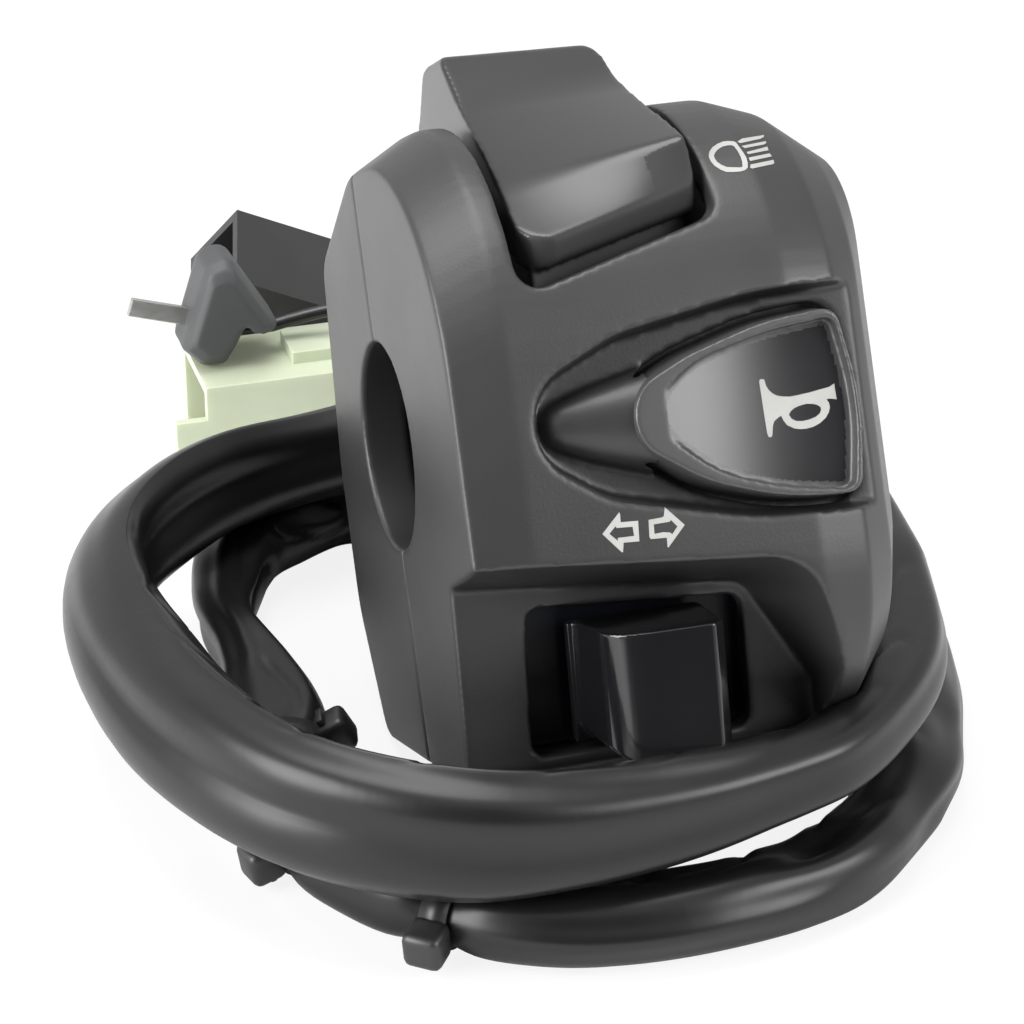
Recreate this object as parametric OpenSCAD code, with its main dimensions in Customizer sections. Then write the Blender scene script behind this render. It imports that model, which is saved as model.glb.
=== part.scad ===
// Handlebar switch cluster for the left-hand grip of a motorbike: dimmer rocker, horn button and
// turn-signal slider in a two-part moulded housing, with its sleeved harness coiled on the table.
// Millimetres. The origin is the middle of the handlebar clamp, +X runs along the bar to the right,
// +Z is up, and the front of the housing looks to -Y, leaning back as it lies on its lower rear edge.

/* [Handlebar clamp] */
// Diameter of the handlebar that the two halves close on
bar_d = 22.2; // [20:0.1:22.6]
// Thickness of the two end walls that grip the bar
end_wall = 5; // [4:0.5:6]
// Backward lean of the housing as it lies, in degrees
lean = 28; // [24:1:30]

/* [Housing] */
// Distance from the clamp's middle to the left end
left_w = 23.5; // [23:0.5:26]
// Distance from the clamp's middle to the right end
right_w = 24.7; // [24.2:0.1:27]
// Distance from the bar axis to the front face
front_d = 32; // [31.5:0.5:34]
// Distance from the bar axis to the top
top_h = 31; // [30:0.5:33]
// Distance from the bar axis to the rear face
rear_d = 26.5; // [26:0.5:30]
// Distance from the bar axis down to the bottom edge at the front
front_b = 38.5; // [38:0.5:41]
// Distance from the bar axis down to the bottom edge at the rear
rear_b = 32.5; // [31:0.5:34]
// Thickness of the moulded walls
wall = 2.5; // [2:0.1:2.8]
// Thickness of the floors of the two recesses
floor_t = 2; // [1.6:0.1:2.2]
// Length of the sloping band at the left end
left_band = 6; // [4:0.5:8]
// Diameter of the housing screws
screw_d = 3.8; // [3:0.1:4]

/* [Dimmer rocker] */
// Left side of the rocker pad
rocker_left = -13.5; // [-14:0.1:-12]
// Right side of the rocker pad
rocker_right = 6.2; // [5:0.1:6.6]
// Depth of the rocker's pivot in front of the bar axis
pivot_d = 8.5; // [7.5:0.1:9.5]
// Height of the rocker's pivot above the bar axis
pivot_h = 22.5; // [22.4:0.1:23.5]
// Diameter of the rocker's pivot stubs
stub_d = 4; // [3:0.1:5]
// Angle that the rocker turns between its two positions
rock_angle = 14; // [10:1:14]
// Diameter of the spring plunger under the rocker
plunger_d = 3; // [2.6:0.1:3.4]

/* [Horn button] */
// Depth of the bullet-shaped recess below the front face
recess_depth = 3.7; // [3:0.1:4]
// Height of the button's rim above the recess floor
button_rise = 4.7; // [4:0.1:5]
// Depth of the dish in the button's face
dish_depth = 1.6; // [1:0.1:2]
// Gap round the button in its window
button_gap = 0.5; // [0.3:0.1:0.7]
// Travel of the button
horn_travel = 2.5; // [1.5:0.1:2.5]

/* [Turn-signal switch] */
// Width of the window that the knob slides in
window_w = 23; // [22.5:0.1:24]
// Middle of the window, from the clamp's middle
window_x = -4.3; // [-4.8:0.1:-3.8]
// Travel of the knob to each side
turn_travel = 3.5; // [2:0.1:3.6]
// Travel of the knob when it is pushed in to cancel
push_travel = 1.5; // [0.8:0.1:1.5]
// How far the knob stands out of the pocket floor
knob_out = 11; // [9:0.5:12]
// Diameter of the knob's stem
stem_d = 4.8; // [4:0.1:5]

/* [Harness] */
// Width of the flattened harness sleeve
sleeve_w = 11; // [10:0.5:11.5]
// Height of the flattened harness sleeve
sleeve_h = 9; // [8:0.5:9.5]
// Mean radius of the coil's loops
coil_r = 46; // [45.5:0.5:48]
// Diameter of one lead
lead_d = 1.7; // [1.4:0.1:1.8]
// Length of the natural nylon connector
natural_l = 24.5; // [22:0.5:26]
// Width of the natural nylon connector
natural_w = 14.5; // [14:0.5:16]
// Height of the natural nylon connector
natural_h = 12; // [11:0.5:13]
// Length of the black connector
black_l = 21; // [19:0.5:23]
// Width of the black connector
black_w = 13; // [12:0.5:14]
// Height of the black connector
black_h = 11; // [9:0.5:11.5]
// Thickness of the connectors' walls
plug_wall = 1.2; // [1:0.1:1.4]

/* [Hidden] */
$fn = 48;

eps = 0.01;
far = 60;
run = 0.05;
seat = 0.1;
bar_r = bar_d / 2;
bar_gap = 0.6;
steps = 5;

black_abs = "#343537";
black_satin = "#3d3e40";
black_gloss = "#242527";
inner_black = "#1c1d20";
brass = "#c9a24a";
steel = "#b9bcc0";
rubber = "#1b1b1c";
nylon = "#d3dfbf";
phenolic = "#6b3f24";

// Helpers for outlines and lofts

function unit(v) = v / norm(v);
function mix(a, b, t) = a + (b - a) * t;
function smooth(t) = let (c = max(0, min(1, t))) c * c * (3 - 2 * c);

// Points of the arc that rounds the corner c between its neighbours a and b
function corner_arc(a, c, b, r, n) =
  let (u = unit(a - c), v = unit(b - c), half = acos(u * v) / 2, reach = r / tan(half))
  let (o = c + unit(u + v) * r / sin(half), p = c + u * reach - o, q = c + v * reach - o)
  let (turn = 180 - 2 * half)
  [for (i = [0:n]) o + (sin(turn * (1 - i / n)) * p + sin(turn * i / n) * q) / sin(turn)];

// Outline through corners [a, b, radius], each rounded by an arc
function rounded(path, n = steps) =
  let (count = len(path), at = [for (p = path) [p[0], p[1]]])
  [for (i = [0:count - 1])
    each corner_arc(at[(i + count - 1) % count], at[i], at[(i + 1) % count], path[i][2], n)];

// The same corners moved outwards by d, for a counter-clockwise outline
function grown(path, d) =
  let (count = len(path), at = [for (p = path) [p[0], p[1]]])
  [for (i = [0:count - 1])
    let (e = unit(at[i] - at[(i + count - 1) % count]), f = unit(at[(i + 1) % count] - at[i]))
    let (ne = [e[1], -e[0]], nf = [f[1], -f[0]], m = (ne + nf) / (1 + ne * nf))
    [at[i][0] + m[0] * d, at[i][1] + m[1] * d,
      max(0.2, path[i][2] + (e[0] * f[1] - e[1] * f[0] > 0 ? d : -d))]];

function ring_yz(x, outline) = [for (p = outline) [x, p[0], p[1]]];
function ring_xz(y, outline) = [for (p = outline) [p[0], y, p[1]]];

// Solid through rings of equal count, each counter-clockwise seen from the last ring's side
module loft(rings) {
  n = len(rings[0]);
  last = len(rings) - 1;
  polyhedron(
    points = [for (r = rings) each r],
    faces = [
      [for (i = [0:n - 1]) i],
      [for (i = [n - 1:-1:0]) last * n + i],
      for (k = [0:last - 1], i = [0:n - 1])
        let (j = (i + 1) % n, a = k * n, b = a + n)
        each [[a + i, b + i, b + j], [a + i, b + j, a + j]]
    ]);
}

// Tube along points, with an oval section of w across and h up
function tangent(pts, i) = unit(pts[min(i + 1, len(pts) - 1)] - pts[max(i - 1, 0)]);
function sweep_ring(p, t, w, h, sides) =
  let (across = unit(cross(t, [0, 0, 1])), up = cross(across, t))
  [for (k = [0:sides - 1]) let (a = 360 * k / sides)
    p - across * cos(a) * w / 2 + up * sin(a) * h / 2];
module tube(pts, w, h, first = 0, last = -1, sides = 8)
  loft([for (i = [first:last < 0 ? len(pts) - 1 : last]) sweep_ring(pts[i], tangent(pts, i), w, h, sides)]);

// Round wire wound on radius r along +Z from 0 to length
module wound_spring(r, wire, length, turns) {
  rings = 10;
  sides = 6;
  pitch = (length - wire) / turns;
  loft([for (i = [0:turns * rings])
    let (a = 360 * i / rings, c = [cos(a), sin(a), 0])
    [for (k = [0:sides - 1]) let (b = -360 * k / sides)
      c * (r + cos(b) * wire / 2) + [0, 0, wire / 2 + pitch * i / rings + sin(b) * wire / 2]]]);
}

// Frames that the pieces are set in

// Everything in the housing is drawn upright, then leans back about the bar
module lean_back() rotate([-lean, 0, 0]) children();

// The turn-signal switch sits square to its pocket floor: +Y goes in, +Z up along the floor
turn_tilt = 9.7;
pocket_y = -20.6;
pocket_z = -14;
turn_z = -26.3;
function pocket_floor(z) = pocket_y + (pocket_z - z) * tan(turn_tilt);
module turn_frame()
  lean_back() translate([window_x, pocket_floor(turn_z), turn_z]) rotate([turn_tilt, 0, 0]) children();

// Housing form

// One cross-section: front depth, top height, rear depth, bottom at front and at rear, corner share
function section(f, t, r, bf, br, s) = [
  [-f, t, 26 * s], [-f, -bf, 21 * s], [r - 6, -br, 4 * s], [r, -0.55 * br, 12 * s],
  [r, -0.06 * br, 16 * s], [r - 5 * s, t - 8.5 * s, 5 * s], [2, t, 15 * s]];
main_form = [front_d, top_h, rear_d, front_b, rear_b, 1];
// Stations along the bar, each with what it loses from the main form
stations = [
  [-left_w, main_form - [1, 3.5, 1, 1, 0.6, 0.06]],
  [-left_w + left_band, main_form],
  [right_w - 12.2, main_form],
  [right_w - 6.9, main_form - [1, 2.5, 1, 2, 1.5, 0.06]],
  [right_w - 2.9, main_form - [5, 7, 3, 8.5, 6, 0.22]],
  [right_w, main_form - [10, 13.7, 6.5, 17, 14.5, 0.45]]];
function form_at(x, k = 0) =
  x <= stations[k + 1][0] || k == len(stations) - 2
    ? mix(stations[k][1], stations[k + 1][1], (x - stations[k][0]) / (stations[k + 1][0] - stations[k][0]))
    : form_at(x, k + 1);
function outline_of(g) = rounded(section(g[0], g[1], g[2], g[3], g[4], g[5]));

cave_left = -left_w + end_wall;
cave_right = right_w - end_wall;
inset = [wall, wall, wall, wall, wall, 0.09];

module outer_body()
  loft([for (s = stations) ring_yz(s[0], outline_of(s[1]))]);
module inner_cave(gap = 0)
  loft([for (x = [cave_left + gap, stations[2][0], stations[3][0], cave_right - gap])
    ring_yz(x, outline_of(form_at(x) - inset - [gap, gap, gap, gap, gap, 0]))]);
module front_side() translate([-far, -2 * far, -far]) cube(2 * far);
module rear_side() translate([-far, 0, -far]) cube(2 * far);
module bar_bore() rotate([0, 90, 0]) cylinder(r = bar_r, h = 2 * far, center = true, $fn = 96);

// Housing screws: [x, z, depth of the head's seat, radius of the boss]
screw_places = [
  [right_w - 11.2, 19.5, 15.5, 3.4],
  [right_w - 10.7, -19, 20, 3.4],
  [-left_w + 8, -14.6, 20, 2.8]];
screw_reach = 10;
screw_head_r = 3.4;
screw_head_t = 2.6;
module along_y(x, y, z) translate([x, y, z]) rotate([-90, 0, 0]) children();

// Rocker slot, seen from the front, with its slanted lower edge
slot_gap = 2.4;
slot_right = rocker_right + 1;
slot_back = 15.4;
slot_left = rocker_left - slot_gap;
slot_path = [[slot_left, far, 1], [slot_left, 12.6, 3], [slot_right, 18.9, 2.4], [slot_right, far, 1]];
module rocker_slot()
  translate([0, slot_back, 0]) rotate([90, 0, 0])
    linear_extrude(far + slot_back) polygon(rounded(slot_path));

// Horn recess: a bullet outline that opens through the right end
recess_y = -front_d + recess_depth;
recess_draft = 0.6;
recess_up = 6;
bullet = [[-15.4, 3.8, 4], [-15.4, -3.6, 4], [-8.5, -8.3, 10], [6, -11.8, 30],
  [34, -13.4, 0.5], [34, 11.6, 0.5], [8, 10.6, 40], [-6, 8.1, 12]];
module horn_recess(grow)
  loft([
    ring_xz(recess_y + grow, rounded(grown(bullet, grow - recess_draft))),
    ring_xz(recess_y - recess_up,
      rounded(grown(bullet, grow + recess_draft * (recess_up / recess_depth - 1))))]);
// Ramp that leads the thumb from the recess tip up to the button
ramp_tip = -13.2;
ramp_end = -6.2;
module horn_ramp()
  intersection() {
    translate([ramp_tip, recess_y, 0]) rotate([0, 90, 0])
      cylinder(r1 = 1.7, r2 = 3.9, h = ramp_end - ramp_tip);
    translate([-far, recess_y - far + eps, -far]) cube([2 * far, far, 2 * far]);
  }

// Horn button outline, seen from the front
button_right = right_w - 6;
button_path = [[-5.9, 2.5, 2.6], [-5.9, -3.4, 2.6], [1, -8.1, 18], [9.5, -10.9, 30],
  [button_right - 1, -11.2, 2.2], [button_right + 0.2, -1.5, 30], [button_right - 1.5, 8.6, 2.2],
  [9, 8, 30], [0.5, 5.5, 18]];
button_face = recess_y - button_rise;
flange_y = recess_y + floor_t + seat;
flange_t = 1.6;
horn_x = 7;
horn_z = -1;
module button_window()
  loft([ring_xz(recess_y + floor_t + 2, rounded(grown(button_path, button_gap))),
    ring_xz(recess_y - 2, rounded(grown(button_path, button_gap)))]);

// Turn-signal pocket, open to the left and below; on the right the wall runs out in a slanted scoop
pocket_rim = [[-far, -9.2, 1], [-far, -70, 1], [13.6, -70, 1], [13, -27, 3], [12.6, -16.4, 9]];
pocket_foot = [[-far, -11.4, 1], [-far, -70, 1], [13.4, -70, 1], [12.7, -26.3, 3], [7.3, -18.3, 3]];
module turn_pocket(grow)
  loft([
    [for (p = rounded(grown(pocket_foot, grow))) [p[0], pocket_floor(p[1]) + grow / cos(turn_tilt), p[1]]],
    [for (p = rounded(grown(pocket_rim, grow))) [p[0], -front_d - 4, p[1]]]]);

// Window in the pocket floor, in the frame of the turn-signal switch
window_top = 8.2;
window_top_right = 6.5;
window_low = -7.6;
window_r = 1.6;
module window_outline(grow)
  polygon(rounded([
    [-window_w / 2 - grow, window_top + grow, window_r + grow],
    [-window_w / 2 - 0.6 - grow, window_low - grow, window_r + grow],
    [window_w / 2 + grow, window_low - grow, window_r + grow],
    [window_w / 2 + grow, window_top_right + grow, window_r + grow]]));
module in_turn_plane(y0, y1) translate([0, y1, 0]) rotate([90, 0, 0]) linear_extrude(y1 - y0) children();

// Rocker pivot seats: a block on the left end wall and a rib under the roof on the right
pivot_y = -pivot_d;
pivot_z = pivot_h;
stub_r = stub_d / 2;
seat_low = bar_r + bar_gap;
seat_half = stub_r + 3;
left_seat = slot_left - 0.3;
right_seat = slot_right + 0.3;
rib_t = 2.2;
// How deep the left stub goes into its block
stub_grip = 1.7;
module pivot_seats()
  intersection() {
    outer_body();
    union() {
      translate([cave_left - 1, pivot_y - seat_half, seat_low])
        cube([left_seat - cave_left + 1, 2 * seat_half, pivot_z + seat_half - seat_low]);
      translate([right_seat, -front_d, seat_low]) cube([rib_t, front_d - 1, top_h - seat_low - 1]);
    }
  }

// Horn base posts and its ledge on the right end wall
horn_base_back = -(bar_r + 1);
horn_base_t = 1.8;
horn_base_y = horn_base_back - horn_base_t;
post_x = -10.6;
post_r = 2;
ledge_w = 2.4;
module horn_seats() {
  for (z = [-5, 5])
    along_y(post_x, recess_y + floor_t - 1, z)
      cylinder(r = post_r, h = horn_base_y - recess_y - floor_t + 1);
  translate([cave_right - ledge_w, horn_base_y - 2.4, -5]) cube([ledge_w + 1, 2.4, 10]);
}

module front_housing() color(black_satin) lean_back()
  difference() {
    union() {
      difference() {
        intersection() { outer_body(); front_side(); }
        difference() {
          inner_cave();
          horn_recess(floor_t);
          turn_pocket(floor_t);
          for (s = screw_places) along_y(s[0], -far, s[1]) cylinder(r = s[3], h = 2 * far);
        }
        horn_recess(0);
        turn_pocket(0);
      }
      horn_ramp();
      pivot_seats();
      horn_seats();
    }
    bar_bore();
    rocker_slot();
    button_window();
    translate([window_x, pocket_floor(turn_z), turn_z]) rotate([turn_tilt, 0, 0])
      in_turn_plane(-1, floor_t + 1.5) window_outline(0);
    translate([left_seat - stub_grip - 0.2, pivot_y, pivot_z]) rotate([0, 90, 0])
      cylinder(r = stub_r + run, h = right_seat + rib_t - left_seat + stub_grip + 0.4);
    for (s = screw_places)
      along_y(s[0], -screw_reach, s[1]) cylinder(r = screw_d / 2 + run, h = far);
  }

// Harness outlet through the rear wall
outlet_x = 1;
outlet_z = -9.5;
outlet_r = sleeve_w / 2 + 1.3;
module rear_housing() color(black_satin) lean_back()
  difference() {
    union() {
      difference() {
        intersection() { outer_body(); rear_side(); }
        inner_cave();
      }
      intersection() {
        outer_body();
        for (s = screw_places) along_y(s[0], 0, s[1]) cylinder(r = s[3] + 0.9, h = far);
      }
    }
    bar_bore();
    rocker_slot();
    for (s = screw_places) {
      along_y(s[0], -1, s[1]) cylinder(r = screw_d / 2 + 0.3, h = far);
      along_y(s[0], s[2], s[1]) cylinder(r = screw_head_r + 0.3, h = far);
    }
    along_y(outlet_x, bar_r + 2, outlet_z) cylinder(r = outlet_r, h = far);
  }

module housing_screws() color(steel) lean_back()
  for (s = screw_places)
    along_y(s[0], -screw_reach + 1, s[1])
      difference() {
        union() {
          cylinder(r = screw_d / 2, h = s[2] + screw_reach - 1);
          translate([0, 0, s[2] + screw_reach - 1]) cylinder(r = screw_head_r, h = screw_head_t);
        }
        for (a = [0, 90])
          translate([0, 0, s[2] + screw_reach + screw_head_t - 1]) rotate(a)
            cube([3.8, 0.9, 2.4], center = true);
      }

// Dimmer rocker

// Side outline of the pad round its pivot, drawn for the left edge and for the right edge
pad_left = [
  [20.3, 5, 0.8], [20.5, 11, 4], [15, 17.1, 3], [7.3, 17.3, 1.6], [5.2, 12.9, 4], [-14.8, 0.6, 14],
  [-21.1, -4.9, 1], [-20.1, -8.1, 0.8], [-8.5, -0.5, 3], [6.5, 4.5, 3]];
pad_right = [
  [20.3, 5, 0.8], [20.5, 11, 4], [16, 17.3, 3], [8.6, 17.2, 1.6], [6.2, 11.4, 3.5], [-15.5, 5.6, 8],
  [-17.5, 0.1, 1], [-16.5, -3, 0.8], [-7.5, 1.3, 3], [6.5, 4.5, 3]];
// The plunger leans with the rocker at rest, half of the travel to the rear
plunger_lean = rock_angle / 2;
plunger_tip = 7.45;
plunger_top = 3.4;
neck_r = plunger_d / 2 + 1.4;
neck_low = 5.2;
spring_top = -1;
rocker_mid = (rocker_left + rocker_right) / 2;
cheek_t = 2.2;
cheek_in = 0.6;
module plunger_axis()
  lean_back() translate([rocker_mid, pivot_y, pivot_z]) rotate([plunger_lean, 0, 0])
    mirror([0, 0, 1]) children();

// The pad is rounded in plan at its front corners, and narrows to a rounded top right corner
pad_face = atan((pad_left[6][0] - pad_left[7][0]) / (pad_left[7][1] - pad_left[6][1]));
pad_free = 0.3;
pad_taper = 1.9;
pad_top = 17.3;
function in_plan(p) = p[0] * cos(pad_face) + p[1] * sin(pad_face);
module rocker_pad()
  translate([0, pivot_y, pivot_z]) intersection() {
    loft([ring_yz(rocker_left, rounded(pad_left)), ring_yz(rocker_right + pad_free, rounded(pad_right))]);
    rotate([pad_face, 0, 0]) translate([0, 0, -far]) linear_extrude(2 * far)
      polygon(rounded([
        [rocker_left - pad_free, in_plan(pad_left[6]) - pad_free, 4],
        [rocker_right + pad_free / 2, in_plan(pad_right[6]) - pad_free, 1.6],
        [rocker_right + pad_free / 2, far, 1], [rocker_left - pad_free, far, 1]]));
    translate([0, far, 0]) rotate([90, 0, 0]) linear_extrude(2 * far)
      polygon(rounded([
        [rocker_left - pad_free, -far, 1], [rocker_right, -far, 1], [rocker_right, 0, 8],
        [rocker_right - pad_taper, pad_top + pad_free, 2.6],
        [rocker_left - pad_free, pad_top + pad_free, 1]]));
  }

module dimmer_rocker() color(black_abs)
  difference() {
    union() {
      lean_back() {
        rocker_pad();
        // Cheeks under the pad, each with its pivot stub
        for (x = [rocker_left + cheek_in, rocker_right - cheek_in - cheek_t])
          translate([x, pivot_y, pivot_z]) rotate([0, 90, 0]) cylinder(r = stub_r + 2, h = cheek_t);
        translate([left_seat - stub_grip, pivot_y, pivot_z]) rotate([0, 90, 0])
          cylinder(r = stub_r, h = rocker_left + cheek_in + cheek_t / 2 - left_seat + stub_grip);
        translate([rocker_right - cheek_in - cheek_t / 2, pivot_y, pivot_z]) rotate([0, 90, 0])
          cylinder(r = stub_r, h = right_seat + rib_t - seat - rocker_right + cheek_in + cheek_t / 2);
      }
      plunger_axis() translate([0, 0, -4]) cylinder(r = neck_r, h = neck_low + 4);
    }
    plunger_axis() translate([0, 0, spring_top]) cylinder(r = plunger_d / 2 + run, h = far);
  }

module dimmer_plunger() color(brass) plunger_axis() {
  translate([0, 0, plunger_top]) cylinder(r = plunger_d / 2, h = plunger_tip - plunger_top - plunger_d / 2);
  translate([0, 0, plunger_tip - plunger_d / 2]) sphere(r = plunger_d / 2);
}

module dimmer_plunger_spring() color(steel) plunger_axis()
  translate([0, 0, spring_top + seat])
    wound_spring(plunger_d / 2 - 0.4, 0.4, plunger_top - spring_top - 2 * seat, 5);

// See-saw contact under the plunger, on a round-topped fulcrum
base_z = seat_low;
base_t = 1.3;
base_front = 8.5;
base_rear = 8;
fulcrum_r = 0.6;
fulcrum_z = base_z + base_t + 0.6;
bridge_reach = 6.5;
bridge_t = 0.7;
bridge_angle = 6;
bridge_w = 5;
contact_r = 1.1;
module dimmer_contact_bridge() color(brass) lean_back()
  translate([rocker_mid, pivot_y, fulcrum_z]) rotate([-bridge_angle, 0, 0])
    translate([-bridge_w / 2, -bridge_reach, fulcrum_r + run]) cube([bridge_w, 2 * bridge_reach, bridge_t]);

module dimmer_switch_base() color(phenolic) lean_back()
  difference() {
    translate([left_seat + seat, pivot_y - base_front, base_z])
      cube([right_seat - left_seat - 2 * seat, base_front + base_rear, base_t]);
    for (y = [-1, 1])
      translate([rocker_mid, pivot_y + y * (bridge_reach - 1), base_z - 1])
        cylinder(r = contact_r + run, h = far);
  }

module dimmer_terminals() color(brass) lean_back() {
  for (y = [-1, 1])
    translate([rocker_mid, pivot_y + y * (bridge_reach - 1), base_z]) {
      cylinder(r = contact_r, h = base_t);
      translate([0, 0, base_t]) cylinder(r = contact_r + 0.5, h = 0.35);
    }
  translate([rocker_mid - bridge_w / 2, pivot_y, fulcrum_z]) rotate([0, 90, 0])
    cylinder(r = fulcrum_r, h = bridge_w);
  translate([rocker_mid - bridge_w / 2, pivot_y - fulcrum_r, base_z + base_t])
    cube([bridge_w, 2 * fulcrum_r, fulcrum_z - base_z - base_t]);
}

// Horn button

boss_r = 3;
disc_r = 2.5;
disc_t = 0.7;
rivet_r = 0.8;
rivet_rise = 0.4;
disc_back = horn_base_y - rivet_rise - seat - horn_travel;
dish_path = grown(button_path, -2);
flange_path = grown(button_path, 1.4);
module horn_button() color(black_gloss) lean_back()
  difference() {
    union() {
      loft([ring_xz(flange_y + eps, rounded(button_path)),
        ring_xz(button_face, rounded(grown(button_path, -0.5)))]);
      intersection() {
        loft([ring_xz(flange_y + flange_t, rounded(flange_path)), ring_xz(flange_y, rounded(flange_path))]);
        translate([-far, -far, -far]) cube([far + button_right - 0.4, 2 * far, 2 * far]);
      }
      along_y(horn_x, flange_y, horn_z) cylinder(r = boss_r, h = disc_back - disc_t - flange_y);
    }
    // The dished face
    loft([ring_xz(button_face + dish_depth, rounded(grown(dish_path, -1.6))),
      ring_xz(button_face - 1, rounded(grown(dish_path, 0.8)))]);
  }

module horn_contact_disc() color(brass) lean_back()
  along_y(horn_x, disc_back - disc_t, horn_z) cylinder(r = disc_r, h = disc_t);

module horn_return_spring() color(steel) lean_back()
  along_y(horn_x, flange_y + flange_t + seat, horn_z)
    wound_spring(boss_r + 1.1, 0.7, horn_base_y - flange_y - flange_t - 2 * seat, 5);

rivet_z = 1.4;
horn_base_h = 17;
post_margin = 0.5;
module horn_contact_base() color(phenolic) lean_back()
  difference() {
    translate([post_x - post_r - post_margin, horn_base_y, -horn_base_h / 2])
      cube([cave_right - post_x + post_r + post_margin - seat, horn_base_t, horn_base_h]);
    for (z = [-rivet_z, rivet_z])
      along_y(horn_x, horn_base_y - 1, horn_z + z) cylinder(r = rivet_r - 0.2 + run, h = far);
  }

module horn_terminals() color(brass) lean_back()
  for (z = [-rivet_z, rivet_z]) {
    along_y(horn_x, horn_base_y - rivet_rise, horn_z + z) cylinder(r = rivet_r, h = rivet_rise);
    along_y(horn_x, horn_base_y, horn_z + z) cylinder(r = rivet_r - 0.2, h = horn_base_t);
  }

// Turn-signal switch, drawn in the frame of its pocket floor

flange_in = 0.3;
knob_flange_t = 1.4;
tray_face = flange_in + knob_flange_t + push_travel + 0.3;
tray_t = 1.4;
stem_r = stem_d / 2;
car_front = tray_face + tray_t + 0.3;
car_len = 8;
car_back = car_front + car_len;
car_half_w = 6;
car_half_h = 5;
stem_end = car_front + 4.4;
bore_end = stem_end + push_travel + 1;
wiper_t = 0.3;
turn_base_y = car_back + wiper_t + seat;
turn_base_t = 1.6;
knob_low = -6.7;
knob_top = 6.2;
flange_half = 7.3;
rail_low = -7.8;
rail_top = 6.4;
rail_t = 1.1;

// The knob in plan: flat face, a hollow flank on the left for the thumb and a straight right side
knob_plan = [
  [-6.6, flange_in, 0.3], [-6.4, -1.2, 2], [-3.6, -3.4, 5],
  [-3.4, -knob_out, 2.2], [6.6, -knob_out, 0.9], [7, flange_in, 0.3]];
module turn_knob() color(black_gloss) turn_frame() {
  translate([0, 0, knob_low]) linear_extrude(knob_top - knob_low) polygon(rounded(knob_plan));
  translate([-flange_half, flange_in - eps, knob_low + 0.3])
    cube([2 * flange_half, knob_flange_t + eps, knob_top - knob_low - 0.6]);
  along_y(0, flange_in, 0) cylinder(r = stem_r, h = stem_end - flange_in);
}

module turn_push_spring() color(steel) turn_frame()
  along_y(0, stem_end + seat, 0) wound_spring(stem_r - 0.6, 0.4, bore_end - stem_end - 2 * seat, 3);

module turn_carriage() color(phenolic) turn_frame()
  difference() {
    translate([-car_half_w, car_front, -car_half_h]) cube([2 * car_half_w, car_len, 2 * car_half_h]);
    along_y(0, car_front - 1, 0) cylinder(r = stem_r + run, h = bore_end - car_front + 1);
    // Notches for the detent at the middle and at each side
    for (x = [-turn_travel, 0, turn_travel])
      along_y(x, car_front - 1, -car_half_h) cylinder(r = leaf_nose + 0.15, h = car_len + 2, $fn = 24);
  }

module turn_wiper() color(brass) turn_frame()
  for (z = [-3, 3])
    translate([-4, car_back, z - 1]) cube([8, wiper_t, 2]);

module tray_blank() turn_frame() {
  difference() {
    union() {
      in_turn_plane(tray_face, tray_face + tray_t) window_outline(1.6);
      // Rim that seats on the back of the pocket floor
      in_turn_plane(floor_t, tray_face)
        difference() {
          window_outline(1.6);
          window_outline(0.5);
        }
    }
    in_turn_plane(tray_face - 1, tray_face + tray_t + 1)
      square([2 * turn_travel + stem_d + 0.6, stem_d + 0.6], center = true);
  }
  // Rails above and below the carriage
  for (z = [rail_low, rail_top - rail_t])
    translate([-car_half_w - turn_travel - 0.5, tray_face + tray_t - eps, z])
      cube([2 * (car_half_w + turn_travel) + 1, turn_base_y - tray_face - tray_t + eps, rail_t]);
}
// The tray is trimmed to the bottom wall, the floor of the horn recess and the screw bosses
tray_gap = 0.3;
module turn_guide_tray() color(inner_black)
  difference() {
    intersection() {
      tray_blank();
      lean_back() inner_cave(tray_gap);
    }
    lean_back() {
      horn_recess(floor_t + tray_gap);
      for (s = screw_places) along_y(s[0], -far, s[1]) cylinder(r = s[3] + tray_gap, h = 2 * far);
    }
  }

// Bent strip under the carriage, with a round nose in the middle notch
leaf_t = 0.3;
leaf_w = 4;
leaf_nose = 0.85;
leaf_foot = 6;
leaf_end = 9;
leaf_crest = 1.2;
leaf_low = rail_low + rail_t;
leaf_top = -car_half_h - 0.5;
leaf_line = [
  [-leaf_end, leaf_low], [-leaf_foot, leaf_low], [-leaf_crest, leaf_top],
  [leaf_crest, leaf_top], [leaf_foot, leaf_low], [leaf_end, leaf_low]];
module turn_detent_leaf() color(steel) turn_frame()
  in_turn_plane(car_front + 1.5, car_front + 1.5 + leaf_w) {
    polygon(concat(leaf_line, [for (i = [len(leaf_line) - 1:-1:0]) leaf_line[i] + [0, leaf_t]]));
    translate([0, -car_half_h]) circle(r = leaf_nose);
  }

module turn_contact_base() color(phenolic) turn_frame()
  difference() {
    translate([-car_half_w - turn_travel - 0.5, turn_base_y, rail_low])
      cube([2 * (car_half_w + turn_travel) + 1, turn_base_t, rail_top - rail_low]);
    for (x = [-5, 0, 5]) along_y(x, turn_base_y - 1, 0) cylinder(r = 1 + run, h = far);
  }

module turn_terminals() color(brass) turn_frame()
  for (x = [-5, 0, 5]) {
    along_y(x, turn_base_y, 0) cylinder(r = 1, h = turn_base_t);
    translate([x - 0.4, turn_base_y + turn_base_t, -1]) cube([0.8, 3.5, 2]);
  }

// Harness

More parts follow.
